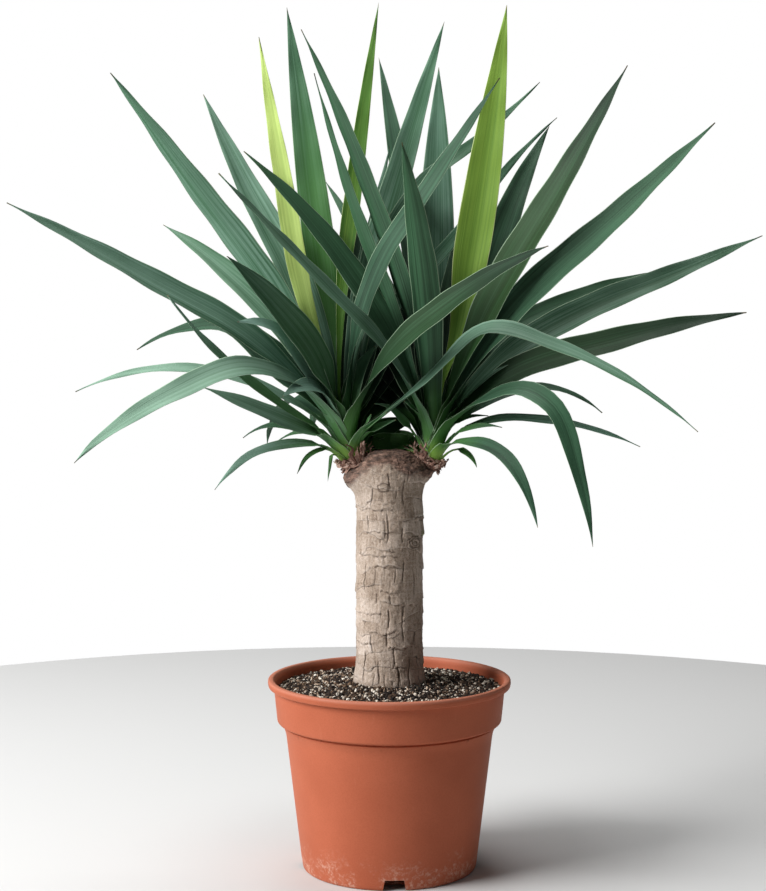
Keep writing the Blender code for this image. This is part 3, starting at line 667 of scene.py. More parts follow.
def cut_notches(pot):
    """Cuts the drain notches through the foot of the pot."""
    shape = bmesh.new()
    for number in range(NOTCH_COUNT):
        cube = bmesh.ops.create_cube(shape, size=1.0)["verts"]
        bmesh.ops.scale(shape, vec=(NOTCH_WIDTH, NOTCH_DEPTH, 2 * NOTCH_HEIGHT), verts=cube)
        foot = [corner for corner in cube if corner.co.z < 0]
        bmesh.ops.scale(shape, vec=(2 * NOTCH_FOOT_WIDTH / NOTCH_WIDTH - 1, 1, 1), verts=foot)
        bmesh.ops.translate(shape, vec=(0, -BASE_RADIUS, 0), verts=cube)
        turn = math.radians(NOTCH_TURN) + number * math.tau / NOTCH_COUNT
        bmesh.ops.rotate(shape, cent=(0, 0, 0), matrix=Matrix.Rotation(turn, 3, "Z"), verts=cube)
    cutter = shape_object("notches", shape)
    modifier = pot.modifiers.new("Notches", "BOOLEAN")
    modifier.operation = "DIFFERENCE"
    modifier.object = cutter
    modifier.solver = "EXACT"
    apply_modifiers(pot)
    bpy.data.objects.remove(cutter, do_unlink=True)


def pot_material():
    """Satin terracotta-coloured plastic with lime stains near the foot and faint scuffs."""
    material, graph, shader = start_material("terracotta_plastic")
    place = object_place(graph)
    x, y, z = graph.split(place)
    cloud = graph.noise(place, 16, 3)
    speck = graph.noise(place, 900, 2)
    tint = graph.colours(cloud, ((0.3, "AC5B40"), (0.7, "B96549")))
    tint = graph.lay(tint, graph.rise(speck, 0.35, 0.75) * 0.18, "8C4630")
    upright = graph.join(x, y, z * 0.25)
    scuff = graph.rise(graph.noise(upright, 160, 4, 0.65), 0.62, 0.78)
    tint = graph.lay(tint, scuff * 0.15, "D08F73")
    # The top of the rim paler: partly wear, partly a painted highlight along the bead
    rim_wear_and_highlight = graph.rise(z, POT_HEIGHT - 0.0030, POT_HEIGHT - 0.0008)
    tint = graph.lay(tint, rim_wear_and_highlight * (0.12 + speck * 0.4), "D39A86")
    low = graph.rise(z, 0.032, 0.004)
    stain = graph.noise(graph.join(x, y, z * 1.5), 34, 4, 0.7)
    flaking = graph.noise(place, 330, 5, 0.75)
    lime = graph.rise(stain + low * 0.12, 0.52, 0.68) * graph.rise(flaking, 0.44, 0.66) * low
    tint = graph.lay(tint, lime * 0.6, "DDBBA9")
    # Dark patches on the lowest 12 mm of the pot, inside and out, stronger towards the floor
    low_dark_patches = graph.rise(graph.noise(place, 60, 4, 0.7), 0.55, 0.8) * graph.rise(z, 0.012, 0.0)
    tint = graph.lay(tint, low_dark_patches * 0.6, "5A3D31")
    above_body = graph.rise(z, BODY_TOP_Z, COLLAR_FOOT_Z - 0.002)
    under_collar = graph.rise(z, COLLAR_FOOT_Z + 0.0008, COLLAR_FOOT_Z)
    dirt = above_body * under_collar * graph.rise(graph.noise(upright, 210, 4, 0.7), 0.60, 0.72)
    tint = graph.lay(tint, dirt * 0.7, "4E2A1E")
    rough = 0.50 + cloud * 0.1 + lime * 0.3 + scuff * 0.12
    bump = graph.bump(speck + lime * 0.8 + scuff * 0.4, 0.22, 0.0003)
    dress(shader, {
        "Base Color": tint,
        "Roughness": rough,
        "Normal": bump,
        "Specular IOR Level": 0.10,
        "Sheen Weight": 0.12,
        "Sheen Roughness": 0.6,
        "Sheen Tint": colour("F0B48C"),
    })
    return material


def make_pot():
    pot = turned("pot_shell", rounded(pot_profile()))
    cut_notches(pot)
    face_outward(pot)
    smooth_over(pot, 40)
    pot.data.materials.clear()
    pot.data.materials.append(pot_material())
    hand_over(pot, "pot_plastic", "pot")


# Soil


def soil_height(x, y):
    """The soil's top: a little higher at the cane than at the wall, cloddy, and even along both edges."""
    radius = math.hypot(x, y)
    inward = (SOIL_RADIUS - radius) / (SOIL_RADIUS - CANE_HOLE_RADIUS)
    clods = noise.noise(Vector((x, y, 0)) * 90) + 0.6 * noise.noise(Vector((x, y, 0.3)) * 210)
    uneven = min(1.0, (SOIL_RADIUS - radius) / SOIL_EVEN_EDGE, (radius - CANE_HOLE_RADIUS) / SOIL_EVEN_EDGE)
    rise = (SOIL_CANE_Z - SOIL_WALL_Z) * max(0.0, inward) ** 1.5
    crumbs = 0.0007 * noise.noise(Vector((x, y, 0.7)) * 620)
    return SOIL_WALL_Z + rise + (SOIL_CLODS * clods + crumbs) * max(0.0, uneven)


def ring_faces(rings, sides):
    """Four-sided faces between rings of points, each ring joined to the next and the last to the first."""
    faces = []
    for ring in range(rings):
        after = (ring + 1) % rings
        for side in range(sides):
            beside = (side + 1) % sides
            low = ring * sides
            high = after * sides
            faces.append((low + side, low + beside, high + beside, high + side))
    return faces


def soil_points():
    """Rings of points out and up along the pot's inside, in over the top, and down the cane's hole."""
    wall = POT_WALL + GAP
    profile = [
        (CANE_HOLE_RADIUS, CANE_BOTTOM_Z - SOIL_BELOW_CANE),
        (BODY_TOP_RADIUS - wall - SOIL_FOOT_INSET, CANE_BOTTOM_Z - SOIL_BELOW_CANE),
        (BODY_TOP_RADIUS - wall, BODY_TOP_Z + GAP),
        (INNER_STEP_RADIUS - GAP, INNER_STEP_Z + GAP),
        (COLLAR_FOOT_RADIUS - wall, COLLAR_FOOT_Z + SOIL_COLLAR_RISE),
    ]
    angles = np.arange(SOIL_SIDES) * math.tau / SOIL_SIDES
    points = []
    for radius, height in profile:
        points += [(radius * math.cos(t), radius * math.sin(t), height) for t in angles]
    for radius in np.linspace(SOIL_RADIUS, CANE_HOLE_RADIUS, SOIL_RINGS):
        for t in angles:
            x = radius * math.cos(t)
            y = radius * math.sin(t)
            points.append((x, y, soil_height(x, y)))
    return points


def soil_material():
    material, graph, shader = start_material("dark_soil")
    place = object_place(graph)
    crumb = graph.noise(place, 420, 4, 0.65)
    clod = graph.noise(place, 70, 3)
    tint = graph.colours(crumb * 0.6 + clod * 0.4, (
        (0.30, "0F0B09"),
        (0.50, "211813"),
        (0.66, "3A2B21"),
        (0.80, "5A4536"),
    ))
    bump = graph.bump(crumb, 0.8, 0.001)
    dress(shader, {"Base Color": tint, "Roughness": 0.95, "Normal": bump})
    return material


def grain_material(name, stops, roughness):
    """Loose grains: each has a shade of its own along a scale of colours."""
    material, graph, shader = start_material(name)
    place = object_place(graph)
    fine = graph.noise(place, 900, 3, 0.6)
    tint = graph.colours(graph.point_value("shade") * 0.8 + fine * 0.2, stops)
    bump = graph.bump(fine, 0.5, 0.0005)
    dress(shader, {"Base Color": tint, "Roughness": roughness, "Normal": bump})
    return material


def grains_tree():
    """Scatters lumpy grains over the part of a surface that faces up."""
    graph, given = start_tree("grains", {
        "Density": "Float",
        "Smallest": "Float",
        "Largest": "Float",
        "Stretch": "Float",
        "Sink": "Float",
        "Lumps": "Float",
        "Seed": "Int",
        "Material": "Material",
    })
    normal = graph.add("GeometryNodeInputNormal")
    upward = reckon("GREATER_THAN", graph.split(normal)[2], 0.4)
    spread = {
        "Mesh": given["Geometry"],
        "Selection": upward,
        "Density": given["Density"],
        "Seed": given["Seed"],
    }
    points = graph.add("GeometryNodeDistributePointsOnFaces", spread)
    ball = graph.add("GeometryNodeMeshIcoSphere", {"Radius": 1.0, "Subdivisions": 1})
    drawn = graph.draw(given["Seed"] + 1)
    size = given["Smallest"] + (given["Largest"] - given["Smallest"]) * drawn**2.2
    turn = {0: (0.0, 0.0, 0.0), 1: (math.tau, math.tau, math.tau), 8: given["Seed"] + 2}
    turned_by = graph.add("FunctionNodeRandomValue", turn, 0, data_type="FLOAT_VECTOR")
    scale = graph.join(size, size * given["Stretch"], size * 0.8)
    place = {"Points": points, "Instance": ball, "Rotation": turned_by, "Scale": scale}
    grains = graph.add("GeometryNodeInstanceOnPoints", place)
    grains = graph.keep(grains, "shade", graph.draw(given["Seed"] + 3), domain="INSTANCE")
    real = graph.add("GeometryNodeRealizeInstances", {"Geometry": grains})
    here = graph.add("GeometryNodeInputPosition")
    lump = graph.add("ShaderNodeTexNoise", {"Vector": here, "Scale": 700.0}, 1)
    shift = (lump - (0.5, 0.5, 0.5)) * given["Lumps"] - graph.join(0.0, 0.0, given["Sink"])
    moved = graph.add("GeometryNodeSetPosition", {"Geometry": real, "Offset": shift})
    return end_tree(graph, moved, given["Material"])


def scatter(name, surface, tree, values):
    grains = add_object(name, surface.data.copy())
    grains.data.materials.clear()
    grow(grains, tree, values)
    face_outward(grains)
    hand_over(grains, "potting_soil")


def scatter_grains(soil):
    """Strews dark crumbs, white perlite and tan bits of wood over the soil."""
    tree = grains_tree()
    dark = ((0.1, "0F0B08"), (0.52, "2A1C13"), (0.80, "4A3626"), (0.97, "846B54"))
    white = ((0.1, "97897A"), (0.45, "D3C7B7"), (0.9, "F5EEE2"))
    tan = ((0.1, "5A4332"), (0.5, "9C846F"), (0.9, "D2BDA8"))
    scatter("soil_crumbs", soil, tree, {
        "Density": 320000.0,
        "Smallest": 0.0004,
        "Largest": 0.0019,
        "Stretch": 1.2,
        "Sink": 0.0001,
        "Lumps": 0.0014,
        "Seed": 3,
        "Material": grain_material("soil_grain", dark, 0.95),
    })
    scatter("perlite_grains", soil, tree, {
        "Density": 62000.0,
        "Smallest": 0.0003,
        "Largest": 0.0017,
        "Stretch": 1.2,
        "Sink": -0.0003,
        "Lumps": 0.0014,
        "Seed": 11,
        "Material": grain_material("perlite", white, 0.8),
    })
    scatter("wood_bits", soil, tree, {
        "Density": 50000.0,
        "Smallest": 0.0003,
        "Largest": 0.0011,
        "Stretch": 2.8,
        "Sink": -0.0002,
        "Lumps": 0.0009,
        "Seed": 29,
        "Material": grain_material("wood_bit", tan, 0.85),
    })


def make_soil():
    points = soil_points()
    soil = mesh_object("soil_bed", points, ring_faces(len(points) // SOIL_SIDES, SOIL_SIDES))
    face_outward(soil)
    smooth_over(soil, 60)
    scatter_grains(soil)
    soil.data.materials.append(soil_material())
    hand_over(soil, "potting_soil", "soil")


# Cane

# A ledge is where one plate of bark ends over the next: its height, its two ends across the front, its sag
# and how far it stands out
Ledge = namedtuple("Ledge", "z x_from x_to sag depth")
FRONT_LEDGES = (
    Ledge(0.2905, -0.0100, 0.0030, 0.0030, 0.7),
    Ledge(0.2835, -0.0264, 0.0080, 0.0000, 1.0),
    Ledge(0.2760, 0.0000, 0.0262, 0.0010, 0.7),
    Ledge(0.2666, -0.0210, 0.0090, 0.0004, 1.1),
    Ledge(0.2620, 0.0090, 0.0250, 0.0008, 0.6),
    Ledge(0.2545, -0.0090, 0.0120, 0.0035, 1.0),
    Ledge(0.2480, -0.0250, 0.0100, 0.0000, 0.9),
    Ledge(0.2381, -0.0134, 0.0080, -0.0020, 0.9),
    Ledge(0.2219, -0.0090, 0.0090, 0.0020, 1.0),
    Ledge(0.2250, -0.0255, -0.0120, 0.0000, 0.6),
    Ledge(0.2122, 0.0042, 0.0235, 0.0030, 1.0),
    Ledge(0.2026, -0.0255, 0.0020, 0.0000, 0.7),
    Ledge(0.1901, -0.0188, 0.0060, 0.0025, 1.0),
    Ledge(0.1950, 0.0080, 0.0250, 0.0006, 0.6),
    Ledge(0.1770, -0.0020, 0.0200, 0.0004, 1.1),
    Ledge(0.1790, -0.0255, -0.0110, 0.0000, 0.7),
)
LEDGE_RELIEF = 0.0014
LEDGE_FADE = 0.0050
LEDGE_LIP = 0.0006
# How deep the gap under a ledge is sunk, and how dark it is painted as the ledge's shadow
LEDGE_GAP_AND_SHADOW_SHARE = 0.8
SIDE_LEDGES = 30
SIDE_CRACKS = 50
ROW_HEIGHT = 0.0125
ROW_WANDER = 2.3
PLATES_AROUND = 9
SPLIT_SHARE = 0.045
BARK_SEED = 41

# A crack runs up the bark: where it is across the front, the heights of its ends and how deep it is
Crack = namedtuple("Crack", "x z_low z_high depth")
FRONT_CRACKS = (
    Crack(-0.0005, 0.3010, 0.3130, 0.8),
    Crack(0.0110, 0.2840, 0.3100, 0.7),
    Crack(0.0105, 0.2568, 0.2705, 1.0),
    Crack(-0.0015, 0.2570, 0.2830, 0.8),
    Crack(-0.0165, 0.2660, 0.2800, 0.7),
    Crack(0.0108, 0.2257, 0.2450, 1.0),
    Crack(-0.0190, 0.2180, 0.2440, 0.7),
    Crack(0.0190, 0.2150, 0.2360, 0.8),
    Crack(0.0105, 0.1793, 0.2110, 1.0),
    Crack(-0.0010, 0.1905, 0.2080, 0.9),
    Crack(-0.0015, 0.1770, 0.1895, 1.0),
    Crack(-0.0105, 0.2100, 0.2200, 0.6),
    Crack(-0.0190, 0.1470, 0.1755, 1.0),
    Crack(0.0040, 0.1620, 0.1775, 0.9),
    Crack(0.0065, 0.1440, 0.1640, 1.0),
    Crack(-0.0080, 0.1470, 0.1680, 0.9),
    Crack(-0.0120, 0.1460, 0.1580, 0.7),
    Crack(0.0150, 0.1450, 0.1700, 0.8),
    Crack(0.0215, 0.1450, 0.1740, 0.7),
    Crack(-0.0030, 0.1460, 0.1570, 0.7),
)
CRACK_WIDTH = 0.00048
CRACK_DEPTH = 0.0009
# A ring-shaped scar: the angle round the cane and the height of its middle, half its width and height, how
# many rings it has and how strong they are
Scar = namedtuple("Scar", "angle z reach tall rings strength")
SCARS = (
    Scar(-0.72, 0.2570, 0.0080, 0.0052, 5.0, 1.3),
    Scar(-1.74, 0.3005, 0.0060, 0.0042, 1.4, 0.6),
)
SCAR_RELIEF = 0.0015
BUD_PLACE = (0.0253, -0.0065, 0.2635)


def cane_radius(height):
    """The cane's plain radius: flared at the soil, even above it, and rounded over at the top."""
    above_soil = height - SOIL_CANE_Z
    flare = np.minimum(1.0, np.exp(-above_soil / FLARE_HEIGHT))
    plain = CANE_RADIUS + (CANE_FOOT_RADIUS - CANE_RADIUS) * flare
    from_top = np.maximum(0.0, CANE_TOP_Z - height)
    return plain * np.minimum(1.0, from_top / CANE_ROUND_OVER) ** TOP_FULLNESS


def shoulder(head, angle, height):
    """How far a head's shoulder stands out of the cane at an angle round it and a height."""
    facing = np.maximum(0.0, np.cos(angle) * math.copysign(1.0, head.foot_x))
    level = (height - head.shoulder_z) / SHOULDER_HEIGHT
    return head.shoulder_reach * facing**3 * np.exp(-(level**2))


def front_angle(x):
    """The angle round the cane of a place on its front."""
    return -math.pi / 2 + math.asin(max(-1.0, min(1.0, x / CANE_RADIUS)))


def angle_gap(angle, centre):
    """How far an angle is from another, the short way round."""
    return (angle - centre + math.pi) % math.tau - math.pi


def ledge_marks(angle, height, centre, half, z, sag, depth):
    """How far a ledge lifts the bark, most just above its torn edge, and the gap under it, sunk and painted
    dark as shadow.
    """
    across = angle_gap(angle, centre) / half
    inside = depth * np.clip(1 - np.abs(across) ** 5, 0.0, 1.0)
    wave = np.sin(angle * 11 + z * 900) + 0.7 * np.sin(angle * 29 + z * 500 + 2 * np.sin(angle * 17))
    above = height + 0.0006 * wave - (z - sag * (1 - across**2))
    below = np.minimum(-above / (LEDGE_LIP / 3), 50.0)
    lift = np.exp(-np.maximum(above, 0.0) / LEDGE_FADE) / (1 + np.exp(below))
    # The gap just under the ledge's edge: sunk into the bark, and painted dark by the material as the ledge's
    # shadow
    gap_and_shadow = np.exp(-(((above + LEDGE_LIP) / LEDGE_LIP) ** 2))
    broken = 0.5 + 0.5 * np.sin(angle * 19 + z * 1300 + 1.5 * np.sin(angle * 7))
    return inside * lift, LEDGE_GAP_AND_SHADOW_SHARE * inside * gap_and_shadow * broken


def crack_share(angle, height, centre, z_low, z_high, depth):
    """How deep one crack is at each place, from 0 to its full depth."""
    wander = 0.0007 * np.sin(height * 190 + centre * 9) + 0.00012 * np.sin(height * 1100 + centre * 4)
    off = angle_gap(angle, centre) * CANE_RADIUS + wander
    along = np.clip((height - z_low) / (z_high - z_low), 0.0, 1.0)
    inside = np.minimum(1.0, 6 * along) * np.minimum(1.0, 6 * (1 - along))
    return depth * inside * np.exp(-((off / CRACK_WIDTH) ** 2))


def all_ledges(draw):
    """The front's ledges and drawn ones behind: the angle, half the width, height, sag and depth of each."""
    ledges = []
    for ledge in FRONT_LEDGES:
        start = front_angle(ledge.x_from)
        end = front_angle(ledge.x_to)
        ledges.append(((start + end) / 2, (end - start) / 2, ledge.z, ledge.sag, ledge.depth))
    for _ in range(SIDE_LEDGES):
        centre = draw.uniform(0.15, math.pi - 0.15)
        ledges.append((
            centre + draw.uniform(-0.4, 0.4),
            draw.uniform(0.25, 0.65),
            draw.uniform(0.150, 0.305),
            draw.uniform(-0.002, 0.003),
            draw.uniform(0.6, 1.1),
        ))
    return ledges


def all_cracks(draw):
    """The front's cracks and drawn ones behind: the angle, the two ends' heights and the depth of each."""
    cracks = [(front_angle(crack.x), crack.z_low, crack.z_high, crack.depth) for crack in FRONT_CRACKS]
    for _ in range(SIDE_CRACKS):
        low = draw.choice((draw.uniform(0.143, 0.150), draw.uniform(0.150, 0.290)))
        high = low + draw.uniform(0.008, 0.026)
        cracks.append((draw.uniform(-0.1, math.pi + 0.1), low, high, draw.uniform(0.6, 1.0)))
    return cracks


def bark_marks(angle, height):
    """The ledges' lift, and the depth of the cracks and of the gaps under the ledges, painted dark as shadow,
    at each place.
    """
    draw = random.Random(BARK_SEED)
    lift = np.zeros_like(angle)
    crack = np.zeros_like(angle)
    for ledge in all_ledges(draw):
        raised, gap_and_shadow = ledge_marks(angle, height, *ledge)
        lift = np.maximum(lift, raised)
        crack = np.maximum(crack, gap_and_shadow)
    for split in all_cracks(draw):
        crack = np.maximum(crack, crack_share(angle, height, *split))
    return lift, crack


def scar_relief(angle, height):
    """Ring-shaped scars, where a side shoot and a leaf once grew."""
    relief = np.zeros_like(angle)
    for scar in SCARS:
        across = angle_gap(angle, scar.angle) * CANE_RADIUS / scar.reach
        up = (height - scar.z) / scar.tall
        far = np.sqrt(across**2 + up**2) + 0.08 * np.sin(5 * across + 7 * up)
        inside = np.clip(1.15 - far, 0.0, 1.0)
        relief += scar.strength * inside**0.5 * (0.45 + 0.4 * np.sin(far * math.pi * scar.rings))
    return relief


def sink_seats(points):
    """Lowers the cane's top where the heads stand on it."""
    flat = SEAT_RADIUS + SEAT_ROOM
    for head in (LEFT_HEAD, RIGHT_HEAD):
        off = np.hypot(points[:, 0] - head.foot_x, points[:, 1])
        slope = np.clip((off - flat) / (SEAT_ROOM_TOP_RADIUS - flat), 0, None)
        roof = SEAT_Z - GAP + slope * SEAT_ROOM_HEIGHT
        points[:, 2] = np.minimum(points[:, 2], roof)


def cane_surface():
    """The cane as rings of points from just under the soil up over its top, with what its bark carries."""
    side_heights = np.linspace(CANE_LOWEST_Z, CANE_TOP_Z - CANE_ROUND_OVER, CANE_RINGS - CANE_TOP_RINGS)
    top_share = np.linspace(0, 1, CANE_TOP_RINGS + 2)[1:-1]
    top_heights = CANE_TOP_Z - CANE_ROUND_OVER * (1 - top_share) ** 2
    heights = np.concatenate([side_heights, top_heights])
    angles = np.arange(CANE_SIDES) * math.tau / CANE_SIDES - math.pi
    height, angle = np.meshgrid(heights, angles, indexing="ij")
    bare = np.clip((height - SOIL_CANE_Z + 0.004) / 0.01, 0.0, 1.0)
    lift, crack = bark_marks(angle, height)
    scars = scar_relief(angle, height)
    side = np.clip((CANE_TOP_Z - 0.004 - height) / 0.02, 0.0, 1.0)
    radius = cane_radius(height)
    radius += bare * side * (LEDGE_RELIEF * lift - CRACK_DEPTH * crack + SCAR_RELIEF * scars - BARK_SINK)
    for head in (LEFT_HEAD, RIGHT_HEAD):
        radius += bare * shoulder(head, angle, height)
    points = np.stack([radius * np.cos(angle), radius * np.sin(angle), height], -1).reshape(-1, 3)
    return points, {"lift": lift.ravel(), "crack": crack.ravel(), "scar": scars.ravel()}


Plates = namedtuple("Plates", "shade lift lip split")


def bark_plates(graph, place):
    """The bark's plates in wandering rows, lifted at the foot over the row below, split at the sides, with a
    shadow line under each foot.
    """
    x, y, z = graph.split(place)
    slow = graph.noise(place, 34.0, 2) - 0.5
    quick = graph.noise(place, 150.0, 3) - 0.5
    level = z / ROW_HEIGHT + slow * ROW_WANDER + quick * 0.16
    row = reckon("FLOOR", level)
    above_foot = level - row
    turn = reckon("ARCTAN2", x, 0.0 - y) / math.tau + 0.5
    shift = graph.add("ShaderNodeTexWhiteNoise", {"W": row}, noise_dimensions="1D")
    sideways = graph.noise(graph.join(x, y, z * 0.4), 48.0, 2) - 0.5
    column_place = (turn + shift + 1.0) * PLATES_AROUND + sideways * 1.1 + quick * 0.10
    column = reckon("FLOOR", column_place)
    from_side = column_place - column
    own = graph.join(row, reckon("MODULO", column, float(PLATES_AROUND)), 0.0)
    shade = graph.add("ShaderNodeTexWhiteNoise", {"Vector": own})
    strength = graph.rise(graph.noise(place, 60.0, 2), 0.36, 0.62) * (0.35 + shade * 0.65)
    lift = (1.0 - above_foot) ** 2.0 * strength
    lip = graph.rise(above_foot, 0.12, 0.02) * strength
    to_side = 0.5 - reckon("ABSOLUTE", from_side - 0.5)
    broken = graph.rise(graph.noise(place + (0.3, 0.1, 0.2), 55.0, 2), 0.50, 0.64)
    split = graph.rise(to_side, SPLIT_SHARE, 0.0) * broken
    # A line at the top of each row, under the lifted foot of the plate above, joins the splits: sunk, and
    # painted dark in the material as its shadow
    split = reckon("MAXIMUM", split, graph.rise(above_foot, 0.90, 0.98) * strength)
    return Plates(shade, lift, lip, split)


def bark_tree():
    """Gives the cane its plates of bark, a slow unevenness, fibres and a rough top."""
    graph, given = start_tree("bark", {
        "Plate Lift": "Float",
        "Split Depth": "Float",
        "Unevenness": "Float",
        "Fibre Depth": "Float",
        "Top Roughness": "Float",
        "Material": "Material",
    })
    here = graph.add("GeometryNodeInputPosition")
    x, y, z = graph.split(here)
    plates = bark_plates(graph, here)
    slow = graph.noise(here, 60.0, 2) - 0.5
    fibre = graph.noise(graph.join(x, y, z * 0.16), 900.0, 3) - 0.5
    grain = graph.noise(here, 420.0, 3) - 0.5
    bare = graph.rise(z, SOIL_CANE_Z - 0.006, SOIL_CANE_Z + 0.004)
    top = graph.rise(z, CANE_TOP_Z - 0.030, CANE_TOP_Z - 0.010)
    height = plates.lift * given["Plate Lift"] - plates.split * given["Split Depth"]
    height = height * (1.0 - top * 0.7)
    lumps = graph.noise(here, 140.0, 3) - 0.5
    height = height + (slow + lumps * 0.8) * given["Unevenness"]
    height = height + fibre * given["Fibre Depth"] + grain * 0.0006
    layers = graph.noise(graph.join(x * 0.8, y * 0.8, z * 2.6), 150.0, 5, 0.7) - 0.5
    height = height + top * layers * given["Top Roughness"]
    outward = graph.add("GeometryNodeInputNormal")
    moved = graph.add("GeometryNodeSetPosition", {
        "Geometry": given["Geometry"],
        "Offset": outward * (height * bare),
    })
    return end_tree(graph, moved, given["Material"])


def brown_top(graph, tint, place, cloud):
    """The brown, layered wood round the cane's cut top."""
    x, y, z = graph.split(place)
    beside = reckon("ABSOLUTE", x) * 0.45
    brown = graph.rise(z + beside + (cloud - 0.5) * 0.045, 0.3140, 0.3245)
    layers = graph.noise(graph.join(x * 0.8, y * 0.8, z * 2.6), 190, 5, 0.72)
    wood = graph.colours(layers, (
        (0.34, "2A1A14"),
        (0.48, "573C30"),
        (0.58, "8A6858"),
        (0.72, "BC9C8A"),
    ))
    return graph.mix(brown * 0.9, tint, wood)


def bark_stains(graph, tint, place):
    """The scars' dark rings, the greenish bud and the damp foot of the cane."""
    z = graph.split(place)[2]
    scar = graph.point_value("scar")
    ring = graph.rise(scar, 0.02, 0.10) * graph.rise(scar, 0.45, 0.15)
    tint = graph.lay(tint, ring * 0.75, "4A3A2E")
    bud = graph.rise(reckon("DISTANCE", place, BUD_PLACE), 0.0040, 0.0015)
    tint = graph.lay(tint, bud * 0.5, "7C9468")
    damp = graph.rise(z, SOIL_CANE_Z + 0.006, SOIL_CANE_Z - 0.002)
    return graph.lay(tint, damp * 0.6, "4A3B30")


def bark_material():
    """Grey-tan bark: plates of slightly different shades, dark cracks, painted shadow under the ledges, pale
    ledges and a brown top.
    """
    material, graph, shader = start_material("cane_bark")
    place = object_place(graph)
    x, y, z = graph.split(place)
    lift = graph.point_value("lift")
    crack = graph.point_value("crack")
    plates = bark_plates(graph, place)
    cloud = graph.noise(place, 38, 4, 0.6)
    speck = graph.noise(place, 520, 5, 0.75)
    grain = graph.noise(place, 1500, 3, 0.7)
    fibre = graph.noise(graph.join(x, y, z * 0.12), 620, 3, 0.6)
    shade = cloud * 0.40 + plates.shade * 0.14 + speck * 0.62 + fibre * 0.26 + grain * 0.50 - 0.49
    tint = graph.colours(shade, (
        (0.26, "806D5E"),
        (0.42, "AC9988"),
        (0.56, "CAB9AB"),
        (0.76, "E8DDD3"),
    ))
    lip = reckon("MAXIMUM", graph.rise(lift, 0.78, 0.98), plates.lip)
    tint = graph.lay(tint, lip * 0.50, "EAE0D5")
    # Dark in the cracks and splits, and painted shadow in the gaps under the ledges and in the lines under
    # the plates' lifted feet
    dark = reckon("MAXIMUM", graph.rise(crack, 0.15, 0.8), plates.split * 0.8)
    tint = graph.lay(tint, dark * 0.85, "3E3025")
    pit = graph.rise(graph.noise(place, 260, 5, 0.75), 0.58, 0.72)
    tint = graph.lay(tint, pit * 0.40, "66564A")
    tint = brown_top(graph, tint, place, cloud)
    tint = bark_stains(graph, tint, place)
    bump = graph.bump(speck * 0.9 + fibre * 0.6 - dark * 0.5, 0.9, 0.0009)
    dress(shader, {
        "Base Color": tint,
        "Roughness": 0.82 + speck * 0.12,
        "Normal": bump,
    })
    return material


def make_cane():
    points, carried = cane_surface()
    sink_seats(points)
    rings = len(points) // CANE_SIDES
    faces = ring_faces(rings, CANE_SIDES)[: (rings - 1) * CANE_SIDES]
    first = len(points)
    faces += [((side + 1) % CANE_SIDES, side, first) for side in range(CANE_SIDES)]
    last = (rings - 1) * CANE_SIDES
    faces += [(last + side, last + (side + 1) % CANE_SIDES, first + 1) for side in range(CANE_SIDES)]
    poles = [(0, 0, CANE_LOWEST_Z), (0, 0, CANE_TOP_Z - 0.0002)]
    cane = mesh_object("cane_bark", list(points) + poles, faces)
    for name, values in carried.items():
        attribute = cane.data.attributes.new(name, "FLOAT", "POINT")
        attribute.data.foreach_set("value", np.append(values, (0.0, 0.0)).astype(np.float32))
    face_outward(cane)
    grow(cane, bark_tree(), {
        "Plate Lift": 0.0010,
        "Split Depth": 0.0006,
        "Unevenness": 0.0014,
        "Fibre Depth": 0.0004,
        "Top Roughness": 0.0048,
        "Material": bark_material(),
    })
    face_outward(cane)
    hand_over(cane, "bark", "cane")


# Leaves


def lengths_along(points):
    """How far along a line each of its points is."""
    return np.concatenate([[0.0], np.cumsum(np.linalg.norm(np.diff(points, axis=0), axis=1))])


def smooth_route(points, count):
    """Places evenly along a smooth curve through the points, as rows of a matrix."""
    points = np.array(points, float)
    knots = lengths_along(points)
    chords = np.linalg.norm(np.diff(points, axis=0), axis=1)
    slopes = np.gradient(points, knots, axis=0, edge_order=2)
    fine = []
    for i, step in enumerate(chords):
        for t in np.linspace(0, 1, 16):
            fine.append(
                (2 * t**3 - 3 * t**2 + 1) * points[i]
                + (t**3 - 2 * t**2 + t) * step * slopes[i]
                + (3 * t**2 - 2 * t**3) * points[i + 1]
                + (t**3 - t**2) * step * slopes[i + 1]
            )
    return even_steps(np.array(fine), count)


def even_steps(fine, count):
    """The same line with its points evenly spaced."""
    run = lengths_along(fine)
    wanted = np.linspace(0, run[-1], count)
    return np.stack([np.interp(wanted, run, fine[:, axis]) for axis in range(fine.shape[1])], -1)


def root_height(leaf, young):
    """Upright leaves leave the core near its top, lying ones near its foot, and young ones the bud on it."""
    if young:
        return YOUNG_ROOT_HEIGHT
    reach, height = leaf.route[0]
    rise = math.atan2(max(height - 0.015, 0.0), reach)
    return LOWEST_ROOT + ROOT_RISE * rise / (math.pi / 2)


def width_share(along, neck, taper):
    """The blade's width along it, as a share of its full width."""
    opening = np.minimum(1.0, along / WIDEST_AT)
    swell = neck + (1 - neck) * (3 * opening**2 - 2 * opening**3)
    closing = np.maximum(0.0, along - WIDEST_AT) / (1 - WIDEST_AT)
    return np.maximum(TIP_SHARE, swell * (1 - closing**taper))


def fold_angle(along):
    """How far each half of the blade is folded up from flat, in radians."""
    closed = np.maximum(0.0, 1 - along / FOLD_OPENS_BY)
    return np.radians(FOLD_AT_MIDDLE + (FOLD_AT_NECK - FOLD_AT_MIDDLE) * closed)


